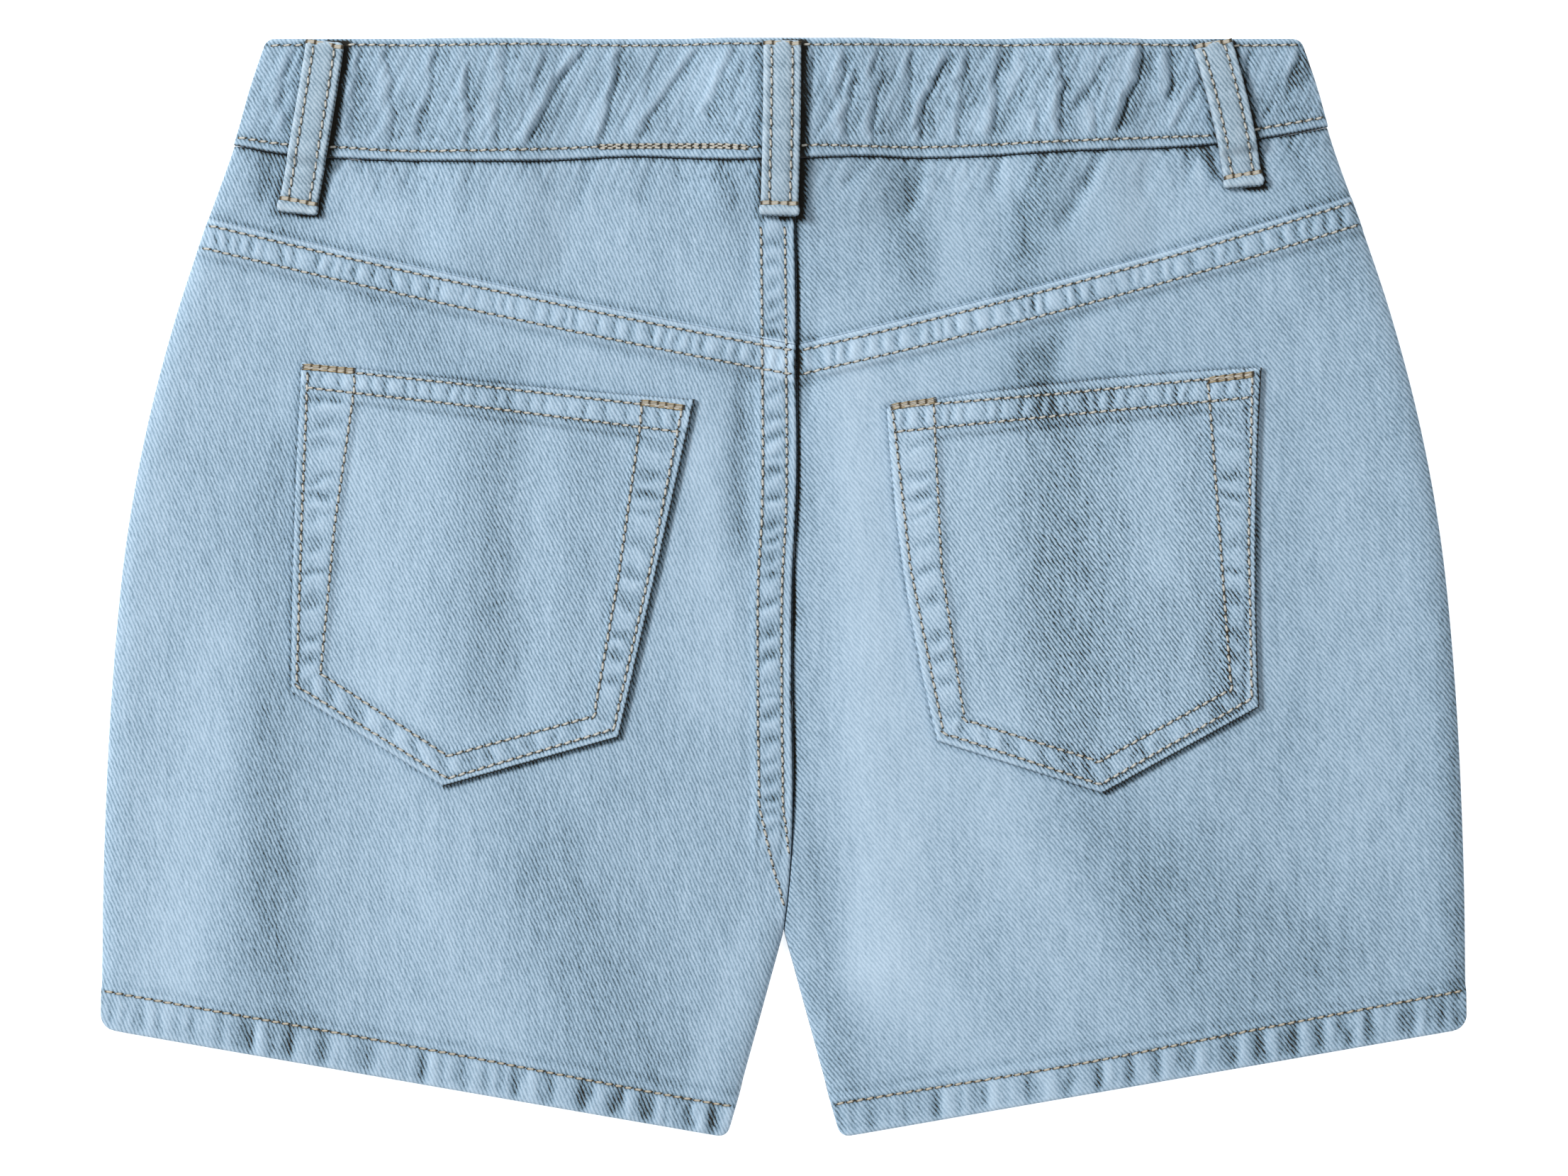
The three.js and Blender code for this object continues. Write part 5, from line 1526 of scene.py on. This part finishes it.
def denim(name, lean, grain=1.0, tint=(1, 1, 1)):
    """Washed twill, whose lines lean by an angle from the horizontal."""
    material, shader, node = finish_with_nodes(name)
    place = node("ShaderNodeTexCoord").outputs["Object"]
    across_wales = (0, 0, math.radians(lean - 90))
    turned = node("ShaderNodeMapping", {"Vector": place, "Rotation": across_wales}).outputs[0]

    def noise(vector, scale, detail, rough):
        return node("ShaderNodeTexNoise", {"Vector": vector, "Scale": scale, "Detail": detail,
                                           "Roughness": rough}).outputs["Fac"]

    def maths(operation, a, b, c=0.0):
        return node("ShaderNodeMath", {0: a, 1: b, 2: c}, operation=operation).outputs[0]

    wales = node("ShaderNodeTexWave", {"Vector": turned, "Scale": 1000 / (TWILL_PERIOD * BANDS_PER_UNIT),
                                       "Distortion": 2.3, "Detail": 2.0, "Detail Scale": 1.6,
                                       "Detail Roughness": 0.65}, wave_type="BANDS", bands_direction="X")
    ridge = node("ShaderNodeMapRange", {"Value": wales.outputs["Fac"], "From Min": 0.05, "From Max": 0.75},
                 interpolation_type="SMOOTHSTEP").outputs["Result"]
    dash_place = node("ShaderNodeMapping", {"Vector": turned, "Scale": (1500, 620, 300)}).outputs[0]
    dashes = noise(dash_place, 1.0, 2.0, 0.6)
    warp_place = node("ShaderNodeMapping", {"Vector": place, "Scale": (1100, 90, 300)}).outputs[0]
    warp = noise(warp_place, 1.0, 2.0, 0.6)
    fuzz = noise(place, 2600.0, 2.0, 0.7)
    streak_place = node("ShaderNodeMapping", {"Vector": place, "Scale": (340, 60, 150)}).outputs[0]
    streaks = noise(streak_place, 1.0, 3.0, 0.6)
    # Wear together with painted light and shade, given at each point of the cloth.
    worn = node("ShaderNodeAttribute", attribute_name="worn").outputs["Fac"]

    weave = -WEAVE_MEAN
    for part, share in ((ridge, RIDGE), (dashes, DASHES), (warp, WARP), (fuzz, FUZZ), (streaks, STREAKS)):
        weave = maths("MULTIPLY_ADD", part, share, weave)
    contrast = node("ShaderNodeMapRange", {"Value": worn, "From Min": -0.6, "From Max": 0.6,
                                           "To Min": 1.38 * grain, "To Max": 0.88 * grain}).outputs["Result"]
    tone = maths("MULTIPLY_ADD", weave, contrast, PLAIN_TONE)
    tone = maths("MULTIPLY_ADD", worn, WEAR_AND_SHADE_REACH, tone)
    colour = ramp_of(node, tone, [(at, lit(*np.multiply(levels, tint))) for at, *levels in BLUES])
    relief = maths("MULTIPLY_ADD", dashes, 0.8, ridge)
    bumps = node("ShaderNodeBump", {"Height": relief, "Strength": 0.55, "Distance": 0.16 * METRE})
    material.node_tree.links.new(colour, shader.inputs["Base Color"])
    material.node_tree.links.new(bumps.outputs["Normal"], shader.inputs["Normal"])
    shader.inputs["Roughness"].default_value = 0.9
    shader.inputs["Specular IOR Level"].default_value = 0.2
    shader.inputs["Sheen Weight"].default_value = 0.12
    shader.inputs["Sheen Roughness"].default_value = 0.6
    return material


# Colours of the thread, from the brown painted shade where it dips to its crest: place in the ramp, red,
# green and blue.
CREAM = [(0.15, 62, 55, 42), (0.6, 134, 128, 114), (1.0, 204, 203, 196)]
GOLDEN = [(0.15, 70, 56, 36), (0.6, 132, 114, 84), (1.0, 182, 165, 134)]


def topstitch_thread():
    """Cream thread with brown painted shade where it dips into the cloth, and golden where it is doubled."""
    material, shader, node = finish_with_nodes("topstitch_thread")
    shade = node("ShaderNodeAttribute", attribute_name="shade").outputs["Fac"]
    gold = node("ShaderNodeAttribute", attribute_name="gold").outputs["Fac"]
    place = node("ShaderNodeTexCoord").outputs["Object"]
    strands = node("ShaderNodeTexNoise", {"Vector": place, "Scale": 2500.0, "Detail": 2.0}).outputs["Fac"]
    mixed = node("ShaderNodeMath", {0: strands, 1: 0.35, 2: shade}, operation="MULTIPLY_ADD").outputs[0]
    cream, golden = (ramp_of(node, mixed, [(at, lit(*levels)) for at, *levels in stops])
                     for stops in (CREAM, GOLDEN))
    colour = node("ShaderNodeMix", {0: gold, 6: cream, 7: golden}, data_type="RGBA").outputs[2]
    material.node_tree.links.new(colour, shader.inputs["Base Color"])
    shader.inputs["Roughness"].default_value = 0.7
    shader.inputs["Specular IOR Level"].default_value = 0.3
    return material


def antique_brass():
    material, shader, node = finish_with_nodes("antique_brass")
    place = node("ShaderNodeTexCoord").outputs["Object"]
    patina = node("ShaderNodeTexNoise", {"Vector": place, "Scale": 900.0, "Detail": 3.0}).outputs["Fac"]
    colour = ramp_of(node, patina, [(0.3, linear(120, 96, 62)), (0.6, linear(184, 154, 104))])
    brushed = node("ShaderNodeMapping", {"Vector": place, "Scale": (400, 4000, 400)}).outputs[0]
    scratches = node("ShaderNodeTexNoise", {"Vector": brushed, "Scale": 1.0, "Detail": 2.0}).outputs["Fac"]
    bumps = node("ShaderNodeBump", {"Height": scratches, "Strength": 0.2, "Distance": 0.1 * METRE})
    material.node_tree.links.new(colour, shader.inputs["Base Color"])
    material.node_tree.links.new(bumps.outputs["Normal"], shader.inputs["Normal"])
    shader.inputs["Metallic"].default_value = 1.0
    shader.inputs["Roughness"].default_value = 0.38
    return material


# How much the floor glows, so that it is as white as the ground of the photograph.
FLOOR_GLOW = 0.60


def pale_floor():
    material, shader, node = finish_with_nodes("pale_floor")
    place = node("ShaderNodeTexCoord").outputs["Object"]
    grain = node("ShaderNodeTexNoise", {"Vector": place, "Scale": 60.0, "Detail": 3.0}).outputs["Fac"]
    colour = ramp_of(node, grain, [(0.3, (0.92, 0.92, 0.92, 1)), (0.7, (0.95, 0.95, 0.95, 1))])
    material.node_tree.links.new(colour, shader.inputs["Base Color"])
    shader.inputs["Roughness"].default_value = 0.85
    shader.inputs["Specular IOR Level"].default_value = 0.1
    shader.inputs["Emission Color"].default_value = (1, 1, 1, 1)
    shader.inputs["Emission Strength"].default_value = FLOOR_GLOW
    return material


# Assembly

left_denim = denim("denim_left_leg", 66)
right_denim = denim("denim_right_leg", 50)
band_denim = denim("denim_waistband", 58)
pocket_denims = {
    "left": denim("denim_left_pocket", 62, grain=1.15),
    "right": denim("denim_right_pocket", 53, grain=1.4),
}
loop_denim = denim("denim_belt_loop", 52, tint=(1.0, 0.98, 0.96))
front_denim = denim("denim_front", 60)
thread = topstitch_thread()
brass = antique_brass()
SIDES = {"left": -1, "right": 1}


def dress(piece, material, nodes=()):
    """Gives a piece its finish, its body and the nodes that it stands for."""
    piece.data.materials.append(material)
    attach(piece, "root")
    if nodes:
        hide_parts(*nodes)
    return piece


def cloth(piece, material, node_name):
    """Gives a sheet of cloth its finish and the node that it stands for."""
    dress(piece, material, [node_name])
    return piece


for label, rows in thread_rows().items():
    dress(sewing(label, rows), thread)

for label, side in SIDES.items():
    leg = left_denim if side < 0 else right_denim
    cloth(front_panel(f"front_cloth_{label}", side), front_denim, f"front_{label}")
    cloth(back_panel(f"back_cloth_{label}", side), leg, f"back_{label}")
    cloth(yoke_piece(f"yoke_cloth_{label}", side), leg, f"yoke_{label}")
    cloth(back_pocket(f"pocket_cloth_{label}", POCKETS[label]), pocket_denims[label], f"back_pocket_{label}")
    cloth(front_band(f"waistband_cloth_front_{label}", side), band_denim, f"waistband_front_{label}")
    cloth(front_loop(f"belt_loop_cloth_front_{label}", side), loop_denim, f"belt_loop_front_{label}")
cloth(back_band("waistband_cloth_back"), band_denim, "waistband_back")
for label, loop in LOOPS.items():
    cloth(back_loop(f"belt_loop_cloth_back_{label}", loop), loop_denim, f"belt_loop_back_{label}")
cloth(fly_placket("fly_placket_cloth"), front_denim, "fly_placket")
dress(brass_button(), brass, ["button"])

# Floor, light and camera

FLOOR_SIZE = 6
SKY_LIGHT = 0.48
# How wide the photograph is on the cloth, how high the cloth lies, and where its centre is.
PHOTO_WIDTH = 0.4535
CLOTH_LEVEL = 0.005
PHOTO_CENTRE = (0.0001, -0.0002)
LENS = 100.0

bpy.ops.object.select_all(action="DESELECT")
bpy.ops.mesh.primitive_plane_add(size=FLOOR_SIZE, location=(0, 0, 0))
floor = bpy.context.object
floor.name = "floor"
floor.data.materials.append(pale_floor())


def soft_light(name, place, size, power):
    """A round lamp that is turned to the centre of the shorts."""
    lamp = bpy.data.lights.new(name, "AREA")
    lamp.shape = "DISK"
    lamp.size = size
    lamp.energy = power
    light = bpy.data.objects.new(name, lamp)
    light.location = place
    aim = -light.location.normalized()
    light.rotation_euler = aim.to_track_quat("-Z", "Y").to_euler()
    bpy.context.scene.collection.objects.link(light)


soft_light("key_light", place=(-2.1, 1.0, 1.9), size=0.8, power=103)
soft_light("fill_light", place=(1.6, -1.2, 2.4), size=2.0, power=18)

world = bpy.data.worlds.new("studio")
world.use_nodes = True
world.node_tree.nodes["Background"].inputs["Color"].default_value = (1, 1, 1, 1)
world.node_tree.nodes["Background"].inputs["Strength"].default_value = SKY_LIGHT
bpy.context.scene.world = world
bpy.context.scene.view_settings.view_transform = "Standard"

camera_data = bpy.data.cameras.new("camera")
camera_data.lens = LENS
camera = bpy.data.objects.new("camera", camera_data)
camera.location = (*PHOTO_CENTRE, CLOTH_LEVEL + PHOTO_WIDTH * LENS / camera_data.sensor_width)
bpy.context.scene.collection.objects.link(camera)
bpy.context.scene.camera = camera
